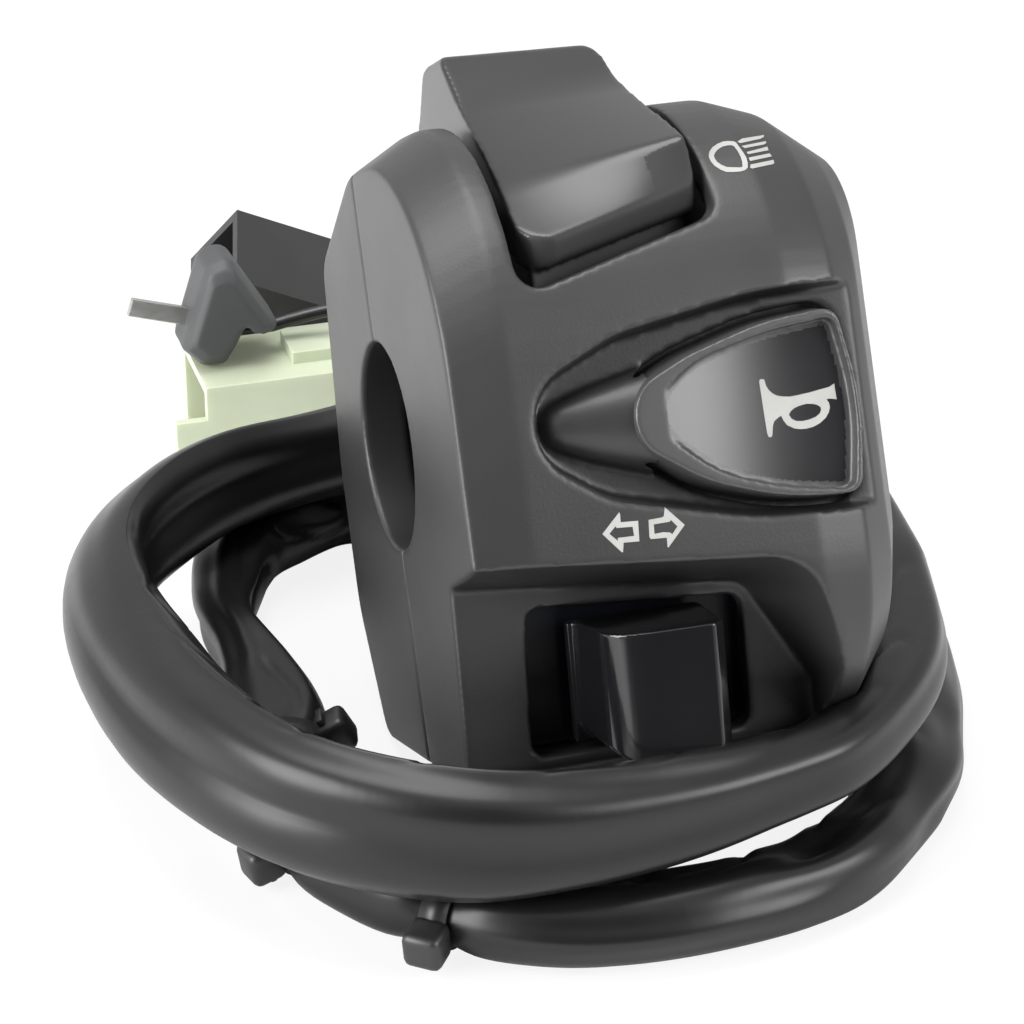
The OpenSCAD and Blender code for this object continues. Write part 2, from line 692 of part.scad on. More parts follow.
// The table under the leaning housing and the two levels of the coil
table_z = min([for (p = outline_of(main_form)) p[1] * cos(lean) - p[0] * sin(lean)]);
tie_t = 1;
tie_gap = 0.45;
low_z = table_z + tie_t + tie_gap + sleeve_h / 2 + 0.05;
high_z = low_z + sleeve_h + tie_t + tie_gap + 0.5;
coil_c = [-6, 0];
coil_from = 114;
coil_to = 712;
coil_rings = 48;
function coil_angle(i) = mix(coil_from, coil_to, i / coil_rings);
climb_from = 365;
climb_span = 75;
cross_from = 400;
cross_span = 60;
// The turns seen from above: the lower one dips in at the left end, the upper one is drawn in at the right
function bump(a, at, span) = exp(-pow((a - at) / span, 2));
// Each bulge is [angle, span, size]
low_bulges = [[172, 28, -16.5], [255, 30, 2]];
high_bulges = [[490, 25, 4.5], [618, 30, 2.4], [695, 28, -5.5]];
front_sag = [655, 35, -1.1];
function bulged(a, bulges, k = 0) =
  k == len(bulges) ? 0 : bulges[k][2] * bump(a, bulges[k][0], bulges[k][1]) + bulged(a, bulges, k + 1);
function loop_r(a) =
  let (low = 0.6 + bulged(a, low_bulges), high = 1.5 + bulged(a, high_bulges))
  coil_r + mix(low, high, smooth((a - cross_from) / cross_span));
// The upper turn sags a little where it passes under the front of the housing
function loop_z(a) = mix(low_z, high_z, smooth((a - climb_from) / climb_span)) + bulged(a, [front_sag]);
function loop_point(a) =
  [coil_c[0] + loop_r(a) * cos(a), coil_c[1] + loop_r(a) * sin(a), loop_z(a)];
// Straight out of the grommet, down to the table and round to the coil
outlet = [outlet_x, rear_d * cos(lean) + outlet_z * sin(lean), -rear_d * sin(lean) + outlet_z * cos(lean)];
outlet_dir = [0, cos(lean), -sin(lean)];
route_in = [[0.2, coil_r - 14, low_z + 4], [-2.6, coil_r - 8.5, low_z + 1.2],
  [-8, coil_r - 4.2, low_z], [-15, coil_r - 2.4, low_z]];
// Over the coil behind the housing and down to where the leads come out
route_out = [[35, 10, -20], [32.5, 21, -16.5], [26, coil_r - 14, -12], [18.5, coil_r - 6, -9.6],
  [15, coil_r + 2.5, -10.2], [13.8, coil_r + 9.5, -14.8], [13, coil_r + 15, -20]];
sleeve_path = concat(
  [outlet - outlet_dir * 4, outlet + outlet_dir * 2, outlet + outlet_dir * 8],
  route_in,
  [for (i = [0:coil_rings]) loop_point(coil_angle(i))],
  route_out);
sleeve_end = route_out[len(route_out) - 1];
// Least gap of the sleeve to itself, between points at least six rings apart
cuts = 4;
fine_path = [for (i = [0:len(sleeve_path) - 2], k = [0:cuts - 1])
  mix(sleeve_path[i], sleeve_path[i + 1], k / cuts)];
sleeve_gap = min([for (i = [0:len(fine_path) - 1], j = [i + 6 * cuts:1:len(fine_path) - 1])
  let (d = fine_path[j] - fine_path[i])
  norm([d[0] / sleeve_w, d[1] / sleeve_w, d[2] / sleeve_h]) * sleeve_h - sleeve_h]);
function path_length(p) = len(p) < 2 ? 0 : [for (i = 1, s = norm(p[1] - p[0]); i < len(p); i = i + 1,
  s = i < len(p) ? s + norm(p[i] - p[i - 1]) : s) s][len(p) - 2];
echo(sleeve_gap = sleeve_gap, sleeve_length = path_length(sleeve_path), table = table_z);

// The tail starts where the last ring of the coil ends
coil_last = len(sleeve_path) - len(route_out) - 1;
module harness_coil() color(rubber) tube(sleeve_path, sleeve_w, sleeve_h, last = coil_last);
module harness_tail() color(rubber) tube(sleeve_path, sleeve_w, sleeve_h, first = coil_last);

// The grommet clips in the wall between a flange inside and a collar outside
grommet_bore = sleeve_w / 2 + 0.2;
grommet_in = rear_d - wall - 0.6;
grommet_out = rear_d + 0.3;
module harness_grommet() color(rubber) lean_back()
  along_y(outlet_x, 0, outlet_z)
    rotate_extrude() polygon([
      [grommet_bore, grommet_in - 1.2], [outlet_r + 1, grommet_in - 1.2], [outlet_r + 1, grommet_in],
      [outlet_r - seat, grommet_in], [outlet_r - seat, grommet_out], [outlet_r + 1.4, grommet_out],
      [outlet_r + 0.4, grommet_out + 2.7], [grommet_bore, grommet_out + 2.7]]);

// Cable ties on the lower turn: the ring of the coil that each is on, and the turn of its head
ties = [[5, 140], [9, -18], [11, -18]];
tie_w = 3;
tie_head = [4, 5, 5.4];
function oval(w, h, n = 32) = [for (i = [0:n - 1]) [w / 2 * cos(360 * i / n), h / 2 * sin(360 * i / n)]];
module cable_ties() color(rubber)
  for (t = ties) {
    d = loop_point(coil_angle(t[0] + 1)) - loop_point(coil_angle(t[0] - 1));
    translate(loop_point(coil_angle(t[0]))) rotate([0, 0, atan2(d[1], d[0]) - 90]) rotate([90, 0, 0]) {
      linear_extrude(tie_w, center = true)
        difference() {
          polygon(oval(sleeve_w + 2 * (tie_gap + tie_t), sleeve_h + 2 * (tie_gap + tie_t)));
          polygon(oval(sleeve_w + 2 * tie_gap, sleeve_h + 2 * tie_gap));
        }
      rotate(t[1]) translate([sleeve_w / 2 + tie_t - 0.3, -tie_head[1] / 2, -tie_head[2] / 2]) cube(tie_head);
    }
  }

// Natural nylon connector, lying behind the housing with its mouth to the left
natural_size = [natural_l, natural_w, natural_h];
natural_at = [-29, coil_r + 24, table_z];
natural_rows = 2;
natural_cols = 3;
natural_pitch = [3.9, 5];
function natural_hole(c, r) =
  natural_at + [0, natural_size[1] / 2 + (c - (natural_cols - 1) / 2) * natural_pitch[0],
    natural_size[2] / 2 + (r - (natural_rows - 1) / 2) * natural_pitch[1]];
mouth_depth = 10;
// The pins start this far inside the mouth and end this far from the back
pin_in = 5;
pin_back = 5;
module natural_connector() color(nylon) {
  difference() {
    translate(natural_at) cube(natural_size);
    translate(natural_at + [-1, plug_wall, plug_wall])
      cube([mouth_depth + 1, natural_size[1] - 2 * plug_wall, natural_size[2] - 2 * plug_wall]);
    for (c = [0:natural_cols - 1], r = [0:natural_rows - 1])
      translate(natural_hole(c, r)) rotate([0, 90, 0]) cylinder(r = lead_d / 2 + run, h = far, $fn = 24);
  }
  // Latch bridge on the top and the tab at the mouth
  translate(natural_at + [12, natural_size[1] / 2 - 3.5, natural_size[2] - eps]) cube([9, 7, 1.6]);
  translate(natural_at + [-4, 0, 2.5]) cube([4 + plug_wall, plug_wall, 5]);
}
module natural_connector_terminals() color(brass)
  for (c = [0:natural_cols - 1], r = [0:natural_rows - 1])
    translate(natural_hole(c, r) + [pin_in, 0, 0]) rotate([0, 90, 0])
      cylinder(r = lead_d / 2, h = natural_size[0] - pin_in - pin_back, $fn = 24);

// Black connector, tipped against the natural one with its mouth up to the left
black_size = [black_l, black_w, black_h];
black_at = [-19, coil_r + 49, table_z + 24.6];
black_x = unit([0.9, 0.05, -0.43]);
black_y = unit([-0.38, 0.56, -0.73] - ([-0.38, 0.56, -0.73] * black_x) * black_x);
black_z = cross(black_x, black_y);
module black_frame()
  multmatrix([
    [black_x[0], black_y[0], black_z[0], black_at[0]], [black_x[1], black_y[1], black_z[1], black_at[1]],
    [black_x[2], black_y[2], black_z[2], black_at[2]], [0, 0, 0, 1]]) children();
black_cols = 3;
black_pitch = 3.4;
// Middle of one lead hole, in the connector's own frame
function black_hole(c) =
  [black_size[1] / 2 + (c - (black_cols - 1) / 2) * black_pitch, -black_size[2] / 2];
module black_connector() color(black_abs) black_frame()
  difference() {
    translate([0, 0, -black_size[2]]) cube(black_size);
    translate([-1, plug_wall, plug_wall - black_size[2]])
      cube([mouth_depth + 1, black_size[1] - 2 * plug_wall, black_size[2] - 2 * plug_wall]);
    for (c = [0:black_cols - 1])
      translate([0, black_hole(c)[0], black_hole(c)[1]]) rotate([0, 90, 0])
        cylinder(r = lead_d / 2 + run, h = far, $fn = 24);
  }
module black_connector_terminals() color(brass) black_frame()
  for (c = [0:black_cols - 1])
    translate([pin_in, black_hole(c)[0], black_hole(c)[1]]) rotate([0, 90, 0])
      cylinder(r = lead_d / 2, h = black_size[0] - pin_in - pin_back, $fn = 24);

// Leads from the sleeve's end, side by side there, each to its own hole
lead_step = lead_d + 0.7;
end_dir = tangent(sleeve_path, len(sleeve_path) - 1);
end_across = unit(cross(end_dir, [0, 0, 1]));
end_up = cross(end_across, end_dir);
function lead_start(k) =
  sleeve_end + end_dir * 0.7 + lead_step * (end_across * (k % 3 - 1) + end_up * (floor(k / 3) - 1.5));
// Smooth curve from a to d, leaving towards b and coming in from c
function bend(a, b, c, d, n = 8) =
  [for (i = [0:n]) let (t = i / n, s = 1 - t)
    s * s * s * a + 3 * s * s * t * b + 3 * s * t * t * c + t * t * t * d];
// The leads run straight for the last stretch before the connector
lead_straight = 3;
function natural_lead(k) =
  let (s = lead_start(k), hole = natural_hole(k % 3, floor(k / 3)))
  let (e = hole + [natural_l + lead_straight, 0, 0])
  concat(bend(s, s + end_dir * 9, e + [7 + 1.5 * (k % 3), 0, 0], e),
    [hole + [natural_l + 0.2 - pin_back, 0, 0]]);
module natural_connector_leads() color(rubber)
  for (k = [0:5]) tube(natural_lead(k), lead_d, lead_d);

function black_world(p) = black_at + black_x * p[0] + black_y * p[1] + black_z * p[2];
function black_lead(k) =
  let (s = lead_start(6 + k), h = black_hole(k))
  let (e = black_world([black_l + lead_straight, h[0], h[1]]))
  concat(bend(s, s + [0, 12, -4], e + [7 + 4 * k, 0, -2], e),
    [black_world([black_l + 0.2 - pin_back, h[0], h[1]])]);
module black_connector_leads() color(rubber)
  for (k = [0:2]) tube(black_lead(k), lead_d, lead_d);

// Earth lead with a blade terminal in a soft boot, lying on the natural connector
boot_at = natural_at + [4, 8.5, natural_size[2] + 0.3];
boot_h = 13;
boot_low = [[-6.5, 0.2, 1.4], [-5.2, -2.6, 1.4], [5.5, -2.6, 1.4], [5.2, 2.6, 1.4]];
boot_top = [[-2.6, 1.4, 1], [-2.2, -1.4, 1], [2.2, -1.4, 1], [2.4, 1.4, 1]];
function ring_xy(z, outline) = [for (p = outline) [p[0], p[1], z]];
module earth_boot() color(rubber) translate(boot_at)
  difference() {
    loft([ring_xy(0, rounded(boot_low)),
      ring_xy(boot_h * 0.55, rounded([for (i = [0:3]) mix(boot_low[i], boot_top[i], 0.45)])),
      ring_xy(boot_h, rounded(boot_top))]);
    loft([ring_xy(-1, rounded(grown(boot_low, -1))), ring_xy(boot_h * 0.6, rounded(grown(boot_top, -0.4)))]);
    // Slit for the blade on the left and hole for the lead on the right
    translate([-far, -blade_w / 2 - seat, earth_z - seat])
      cube([far, blade_w + 2 * seat, blade_t + 2 * seat]);
    translate([0, 0, earth_z + blade_t / 2]) rotate([0, 90, 0]) cylinder(r = lead_d / 2 + seat, h = far);
  }
blade_w = 2.4;
blade_t = 0.8;
earth_z = 2.8;
module earth_terminal() color(steel) translate(boot_at)
  translate([-12.5, -blade_w / 2, earth_z]) cube([11, blade_w, blade_t]);
boot_out = boot_at + [6.5, 0, earth_z + blade_t / 2];
earth_start = lead_start(9);
earth_lead_path = concat(
  [boot_out - [7, 0, 0]],
  bend(boot_out, boot_out + [14, 0, 3], earth_start + end_dir * 10 + [0, 4, 5], earth_start));
module earth_lead() color(rubber) tube(earth_lead_path, lead_d, lead_d);

front_housing();
rear_housing();
housing_screws();
dimmer_rocker();
dimmer_plunger();
dimmer_plunger_spring();
dimmer_contact_bridge();
dimmer_switch_base();
dimmer_terminals();
horn_button();
horn_contact_disc();
horn_return_spring();
horn_contact_base();
horn_terminals();
turn_knob();
turn_push_spring();
turn_carriage();
turn_wiper();
turn_guide_tray();
turn_detent_leaf();
turn_contact_base();
turn_terminals();
harness_grommet();
harness_coil();
harness_tail();
cable_ties();
black_connector();
black_connector_terminals();
black_connector_leads();
natural_connector();
natural_connector_terminals();
natural_connector_leads();
earth_boot();
earth_terminal();
earth_lead();
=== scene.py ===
from math import acos, atan2, cos, degrees, exp, pi, radians, sin, tan

import bmesh
import bpy
from mathutils import Matrix, Vector, noise
from mathutils.bvhtree import BVHTree


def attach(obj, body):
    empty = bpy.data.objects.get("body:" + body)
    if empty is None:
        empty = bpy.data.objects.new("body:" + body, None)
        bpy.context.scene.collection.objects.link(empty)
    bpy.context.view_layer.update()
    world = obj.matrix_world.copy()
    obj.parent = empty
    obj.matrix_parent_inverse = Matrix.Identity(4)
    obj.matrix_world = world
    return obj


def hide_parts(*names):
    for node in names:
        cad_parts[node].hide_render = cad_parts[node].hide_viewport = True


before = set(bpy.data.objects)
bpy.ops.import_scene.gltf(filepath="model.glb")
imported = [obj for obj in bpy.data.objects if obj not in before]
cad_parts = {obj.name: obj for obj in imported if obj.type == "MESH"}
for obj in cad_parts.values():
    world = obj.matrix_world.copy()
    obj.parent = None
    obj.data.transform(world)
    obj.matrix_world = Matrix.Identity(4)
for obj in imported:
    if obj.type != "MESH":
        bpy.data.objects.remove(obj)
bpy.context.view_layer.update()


# Stage: a white table in a light tent. A broad soft lamp stands to the left, a smaller one to the right in
# front, and one hangs overhead; the tent's white walls fill the rest. The camera looks a little from the
# left and from above.

def linear(code):
    """An sRGB hex colour as the linear red, green, blue and alpha that a socket takes."""
    parts = [int(code[k:k + 2], 16) / 255 for k in (1, 3, 5)]
    return [p / 12.92 if p <= 0.04045 else ((p + 0.055) / 1.055) ** 2.4 for p in parts] + [1.0]


def add(tree, kind, sockets=(), **settings):
    """One shader node with its settings; a socket takes a number, a colour or another node's output."""
    made = tree.nodes.new("ShaderNode" + kind)
    for name, value in settings.items():
        setattr(made, name, value)
    for name, value in dict(sockets).items():
        if isinstance(value, bpy.types.NodeSocket):
            tree.links.new(value, made.inputs[name])
        else:
            made.inputs[name].default_value = value
    return made


def fresh(name):
    """An empty material and its node tree."""
    made = bpy.data.materials.new(name)
    made.use_nodes = True
    made.node_tree.nodes.clear()
    return made, made.node_tree


def stage_sheet(name, material, place):
    """A flat square of the stage, 2 m wide before its place scales it."""
    bm = bmesh.new()
    bmesh.ops.create_grid(bm, x_segments=1, y_segments=1, size=1.0, matrix=place)
    mesh = bpy.data.meshes.new(name)
    bm.to_mesh(mesh)
    bm.free()
    made = bpy.data.objects.new(name, mesh)
    made.data.materials.append(material)
    scene.collection.objects.link(made)
    return made


scene = bpy.context.scene
scene.view_settings.view_transform = "Standard"

camera_left, camera_rise = radians(16.3), radians(28.3)
lens = bpy.data.cameras.new("camera")
lens.lens, lens.sensor_width, lens.clip_start = 132.2, 36, 0.01
camera = bpy.data.objects.new("camera", lens)
camera.location = (-0.1105, -0.3449, 0.1835)
camera.rotation_euler = (pi / 2 - camera_rise, 0, -camera_left)
scene.collection.objects.link(camera)
scene.camera = camera

# Lamps: place, width across and power, each turned to the middle of the table
for lamp_name, place, size, watts in (
        ("lamp_left", (-0.55, -0.12, 0.22), 0.45, 5.6),
        ("lamp_top", (-0.05, 0.10, 0.65), 0.50, 4.0),
        ("lamp_right", (0.47, -0.42, 0.33), 0.36, 3.2)):
    lamp = bpy.data.lights.new(lamp_name, "AREA")
    lamp.shape, lamp.size, lamp.energy = "DISK", size, watts
    stand = bpy.data.objects.new(lamp_name, lamp)
    stand.matrix_world = Matrix.Translation(place) @ (
        Vector(place).to_track_quat("Z", "Y").to_matrix().to_4x4())
    scene.collection.objects.link(stand)

# The tent is white to the eye and in reflections, and a soft grey as a light source.
tent_lit, tent_seen = 0.28, 0.85
tent = bpy.data.worlds.new("tent")
tent.use_nodes = True
scene.world = tent
sky = tent.node_tree
sky.nodes.clear()
path = add(sky, "LightPath")
seen = add(sky, "Math", {0: path.outputs["Is Camera Ray"], 1: path.outputs["Is Glossy Ray"]},
           operation="MAXIMUM")
seen = add(sky, "Math", {0: seen.outputs[0], 1: path.outputs["Is Transmission Ray"]}, operation="MAXIMUM")
strength = add(sky, "Mix", {"Factor": seen.outputs[0], "A": tent_lit, "B": tent_seen})
wall = add(sky, "Background", {"Color": linear("#ffffff"), "Strength": strength.outputs["Result"]})
add(sky, "OutputWorld", {"Surface": wall.outputs[0]})

# The table is a matt white sheet that keeps a faint shadow; its height and the gap over it are in mm.
table_z, table_gap, table_glow = -37.7266, 0.05, 0.86
table_sheet, tree = fresh("white_table")
matt = add(tree, "BsdfDiffuse", {"Color": linear("#f4f4f3")})
glow = add(tree, "Emission", {"Color": linear("#ffffff"), "Strength": 1.0})
path = add(tree, "LightPath")
share = add(tree, "Math", {0: path.outputs["Is Camera Ray"], 1: table_glow}, operation="MULTIPLY")
both = add(tree, "MixShader", {"Fac": share.outputs[0], 1: matt.outputs[0], 2: glow.outputs[0]})
add(tree, "OutputMaterial", {"Surface": both.outputs[0]})
table = stage_sheet("table", table_sheet, Matrix.Translation((0, 0, (table_z - table_gap) * 0.001))
                    @ Matrix.Diagonal((3, 3, 1, 1)))

# The photographer's side of the tent is open and dark; only reflections see it.
card_dark, tree = fresh("open_side")
dim = add(tree, "Emission", {"Color": linear("#ffffff"), "Strength": 0.10})
add(tree, "OutputMaterial", {"Surface": dim.outputs[0]})
card = stage_sheet("open_side", card_dark, Matrix.Translation((-0.28, -1.0, 0.45))
                   @ Matrix.Rotation(radians(90), 4, "X") @ Matrix.Diagonal((0.72, 0.75, 1, 1)))
card.visible_camera = card.visible_diffuse = card.visible_shadow = card.visible_transmission = False


# Harness sleeve: a soft PVC tube, pushed over the leads and pressed flat where it was coiled for the box.
# It leaves the housing through the grommet, lies in two turns, and is cut off where the leads come out.

def smooth(t):
    t = max(0.0, min(1.0, t))
    return t * t * (3 - 2 * t)


def mix(a, b, t):
    return a + (b - a) * t


def bump(a, at, span):
    return exp(-((a - at) / span) ** 2)


lean = radians(28)
coil_x = -6.0
# The coil, by the angle round it: radius, height over the table, half the width and half the height
coil_table = [
    (114, 48.2, 5.3, 5.2, 4.9), (120, 47.6, 5.0, 5.0, 4.7), (126, 45.6, 4.6, 4.7, 4.4),
    (132, 42.9, 4.3, 4.2, 4.1), (141, 39.3, 4.5, 3.3, 4.4), (148, 36.0, 4.7, 2.9, 4.6),
    (156, 32.7, 4.4, 3.7, 4.3), (170, 30.5, 4.05, 5.5, 3.95), (185, 31.0, 4.05, 6.1, 3.95),
    (200, 34.7, 4.05, 5.2, 3.95), (215, 38.2, 4.05, 5.1, 3.95), (225, 40.1, 4.05, 5.1, 3.95),
    (236, 42.2, 4.05, 5.1, 3.95), (247, 43.7, 4.05, 5.1, 3.95), (256, 44.9, 4.05, 5.1, 3.95),
    (270, 45.3, 4.05, 5.0, 3.95), (285, 45.6, 4.05, 4.8, 3.95), (302, 45.0, 4.05, 4.8, 3.95),
    (316, 43.5, 4.05, 5.0, 3.95), (325, 42.6, 4.05, 5.2, 3.95), (337, 41.8, 4.05, 5.3, 3.95),
    (350, 42.0, 4.3, 5.3, 4.1), (362, 42.8, 5.0, 5.2, 4.4), (372, 44.4, 6.0, 5.1, 4.7),
    (400, 46.5, 9.5, 5.0, 5.8), (440, 44.8, 14.8, 4.9, 5.6), (470, 44.6, 15.8, 4.8, 5.6),
    (486, 47.0, 15.8, 4.7, 6.7), (498, 48.0, 15.9, 4.8, 7.5), (510, 48.7, 15.9, 4.9, 7.6),
    (519, 48.2, 15.9, 5.1, 7.6), (531, 46.6, 15.9, 5.8, 7.6), (545, 45.3, 15.9, 6.3, 7.6),
    (560, 45.7, 15.9, 5.9, 7.6), (570, 46.4, 15.9, 5.5, 7.6), (581, 47.6, 15.9, 5.1, 7.6),
    (596, 47.8, 15.9, 4.8, 7.6), (606, 47.2, 15.7, 4.6, 7.4), (618, 44.8, 15.3, 4.5, 6.5),
    (629, 42.9, 15.2, 4.4, 5.8), (645, 42.2, 15.5, 4.1, 4.6), (656, 42.9, 15.7, 4.1, 4.2),
    (668, 41.9, 15.9, 4.3, 4.2), (684, 40.8, 16.3, 4.4, 4.2), (700, 39.0, 16.6, 4.4, 4.4),
    (712, 38.6, 17.0, 4.5, 4.6)]
coil_from, coil_to, coil_steps = coil_table[0][0], coil_table[-1][0], 96


def coil_at(a):
    """Radius, height and half sizes of the coil at an angle, on a smooth curve through the table."""
    k = max(i for i in range(len(coil_table) - 1) if i == 0 or a >= coil_table[i][0])
    near = [coil_table[max(0, min(len(coil_table) - 1, k + n))] for n in (-1, 0, 1, 2)]
    spans, rows = [row[0] for row in near], [Vector(row[1:]) for row in near]
    step = spans[2] - spans[1]
    t = (a - spans[1]) / step
    out = (rows[2] - rows[0]) * step / (spans[2] - spans[0])
    into = (rows[3] - rows[1]) * step / (spans[3] - spans[1])
    return (rows[1] * (2 * t ** 3 - 3 * t * t + 1) + out * (t ** 3 - 2 * t * t + t)
            + rows[2] * (3 * t * t - 2 * t ** 3) + into * (t ** 3 - t * t))


def coil_point(a):
    r, z, _, _ = coil_at(a)
    return Vector((coil_x + r * cos(radians(a)), r * sin(radians(a)), table_z + z))


# The sleeve's line: out of the grommet and down to the table, round the coil, then over to the connectors
low_z = table_z + 4.05
sleeve_exit = Vector((1, 18.938, -20.829))
sleeve_out = Vector((0, cos(lean), -sin(lean)))
sleeve_knots = [sleeve_exit - sleeve_out * 4, sleeve_exit + sleeve_out * 2, sleeve_exit + sleeve_out * 8,
                Vector((0.2, 31.5, -27.3)), Vector((-2.2, 37.2, -30.9)), Vector((-6.2, 42.8, low_z)),
                Vector((-11.6, 47.0, low_z + 0.9)), Vector((-18.2, 47.9, low_z + 1.2))]
sleeve_knots += [coil_point(coil_from + (coil_to - coil_from) * i / coil_steps)
                 for i in range(coil_steps + 1)]
sleeve_knots += [Vector(p) for p in ((33.4, 10, -20.1), (31.4, 21, -16.9), (26, 32, -12), (18.5, 40, -9.6),
                                     (15, 48.5, -10.2), (13.8, 55.5, -14.8), (13, 61, -20))]


def through(knots, share):
    """Points of one smooth line through the knots, a share of each span apart."""
    points = []
    for k in range(len(knots) - 1):
        a, b, c, d = (knots[max(0, min(len(knots) - 1, k + n))] for n in (-1, 0, 1, 2))
        for n in range(share):
            t = n / share
            points.append(0.5 * (2 * b + (c - a) * t + (2 * a - 5 * b + 4 * c - d) * t ** 2
                                 + (3 * b - a - 3 * c + d) * t ** 3))
    return points + [knots[-1].copy()]


def even(points, step):
    """The same line as points that all lie about a step apart."""
    lengths = [0.0]
    for a, b in zip(points, points[1:]):
        lengths.append(lengths[-1] + (b - a).length)
    count = round(lengths[-1] / step)
    line, k = [], 0
    for i in range(count + 1):
        at = lengths[-1] * i / count
        while k < len(lengths) - 2 and lengths[k + 1] < at:
            k += 1
        span = max(1e-9, lengths[k + 1] - lengths[k])
        line.append(points[k].lerp(points[k + 1], (at - lengths[k]) / span))
    return line


sleeve_line = even(through(sleeve_knots, 8), 1.0)
sleeve_mm = sum((b - a).length for a, b in zip(sleeve_line, sleeve_line[1:]))


def axes(line, i):
    """The way ahead along a line at one of its points, the way across it, and the way up from both."""
    ahead = (line[min(i + 1, len(line) - 1)] - line[max(i - 1, 0)]).normalized()
    across = ahead.cross(Vector((0, 0, 1))).normalized()
    return ahead, across, across.cross(ahead)


# Rings are 1 mm apart: the coil has begun at the first of these, and its lower turn has ended at the second
coil_ring, lower_rings = 60, 300


def ring_at(a):
    """The ring of the sleeve nearest to an angle of the lower turn."""
    spot = coil_point(a)
    return min(range(lower_rings), key=lambda i: (sleeve_line[i] - spot).length)


# The rings at which the line passes the x axis, so that an angle tells its turn
turn_rings = [i for i in range(coil_ring, len(sleeve_line)) if sleeve_line[i - 1].y < 0 <= sleeve_line[i].y]
# Cable ties on the lower turn: ring of the sleeve, turn of the head round the strap, length of the tail
tie_places = [(ring_at(188), 150, 1.0), (ring_at(213), -10, 0.6), (ring_at(240), -10, 0.6)]


sleeve_r, tie_pinch = 5.2, 0.9
# Folds along the tube: angle round the coil and its span, angle round the tube and its span, lift in mm. The
# first hollows the inner face at the back, three rib the outer face at the left, and the last is a short kink.
long_folds = [(497, 32, 2.9, 0.42, -2.6), (562, 40, 0.85, 0.35, 0.7), (562, 40, 0.22, 0.2, -0.9),
              (562, 40, 5.85, 0.4, 0.5), (291, 5, 1.9, 0.6, -1.4)]


def sleeve_section(i, angle):
    """One point of the tube's wall at a ring: round at the grommet, flat in the coil, pinched by the ties."""
    at = sleeve_line[i]
    ahead, across, up = axes(sleeve_line, i)
    s = i * sleeve_mm / (len(sleeve_line) - 1)
    turned = degrees(atan2(at.y, at.x - coil_x)) % 360
    turned += 360 * sum(i >= ring for ring in turn_rings)
    _, _, wide, tall = coil_at(min(coil_to, max(coil_from, turned)))
    flat = smooth((s - 8) / 24) * (1 - smooth((s - sleeve_mm + 14) / 12))
    pinch = sum(bump(i, ring, 3.0) for ring, _, _ in tie_places)
    half_w = mix(sleeve_r, wide, flat) - tie_pinch * pinch
    half_h = mix(sleeve_r, tall, flat) - tie_pinch * pinch
    c, d = cos(angle), sin(angle)
    # Where the sleeve stands on edge, its bottom is a soft fold, and its top a sharp one that leans inwards
    edged = smooth((turned - 440) / 40) * (1 - smooth((turned - 600) / 40))
    crest = edged * bump(turned, 530, 55) * (d > 0)
    x = half_w * abs(c) ** (0.92 + 0.42 * edged + 0.62 * crest) * (1 if c > 0 else -1)
    y = half_h * abs(d) ** 0.92 * (1 if d > 0 else -1)
    x -= 0.6 * edged * y / half_h + 1.5 * crest * (y / half_h) ** 2
    # Soft waves all along, short creases inside the bend, and a crumpled stretch of the lower turn
    wave = noise.noise(Vector((s / 40, 1.5 * c, 1.5 * d)))
    crease = max(0.0, 0.12 - abs(noise.noise(Vector((s / 13, 0.9 * c + 4, 0.9 * d))))) / 0.12
    crease *= smooth(0.5 - c) * smooth((turned - 505) / 30 if turned > 400 else 1)
    crumple = bump(turned, 318, 36) * noise.noise(Vector((s / 12, 1.1 * c, 1.1 * d + 7)))
    folds = sum(lift * bump(turned, coil_a, coil_span) * bump((angle - tube_a + pi) % (2 * pi), pi, tube_span)
                for coil_a, coil_span, tube_a, tube_span, lift in long_folds)
    lift = flat * (1 - min(1.0, pinch)) * (0.9 * wave - 0.5 * crease + 1.3 * crumple + folds)
    wall = at + across * (x + c * lift) + up * (y + d * lift)
    wall.z = max(wall.z, table_z + table_gap)
    return wall


def tube(name, line, section, sides, seam, inset):
    """A closed tube along the line, its far end cut square and hollow; u runs round it and v along it."""
    bm = bmesh.new()
    bm.loops.layers.uv.new("along")
    bmesh.ops.create_grid(bm, x_segments=sides, y_segments=len(line) - 1, size=1.0, calc_uvs=True)
    for v in bm.verts:
        ring = round((v.co.y + 1) / 2 * (len(line) - 1))
        v.co = section(ring, (v.co.x + 1) * pi + seam)
    bmesh.ops.remove_doubles(bm, verts=bm.verts, dist=1e-4)
    open_edges = [e for e in bm.edges if e.is_boundary]
    caps = bmesh.ops.holes_fill(bm, edges=open_edges, sides=0)["faces"]
    bmesh.ops.recalc_face_normals(bm, faces=bm.faces)
    end = min(caps, key=lambda f: (f.calc_center_median() - line[-1]).length)
    bmesh.ops.inset_region(bm, faces=[end], thickness=inset)
    bmesh.ops.translate(bm, verts=end.verts, vec=axes(line, len(line) - 1)[0] * -6 * inset)
    return finished(name, bm, rounded=True)


def finished(name, bm, rounded=False):
    """The mesh, drawn in millimetres, as a piece in metres at the origin, shaded as round where it is."""
    for f in bm.faces:
        f.smooth = f.smooth or rounded
    bmesh.ops.scale(bm, vec=(0.001, 0.001, 0.001), verts=bm.verts)
    mesh = bpy.data.meshes.new(name)
    bm.to_mesh(mesh)
    bm.free()
    made = bpy.data.objects.new(name, mesh)
    scene.collection.objects.link(made)
    return made


# The seam faces inwards and down, out of sight
sleeve = tube("harness_sleeve", sleeve_line, sleeve_section, sides=64, seam=4, inset=0.9)
# Glossy PVC: fine wrinkles, 7 mm round the tube and 2 mm along it, and dust that dulls it in 11 mm patches.
girth_mm, wrinkle_round, wrinkle_along, dust_mm = 33, 7, 2, 11


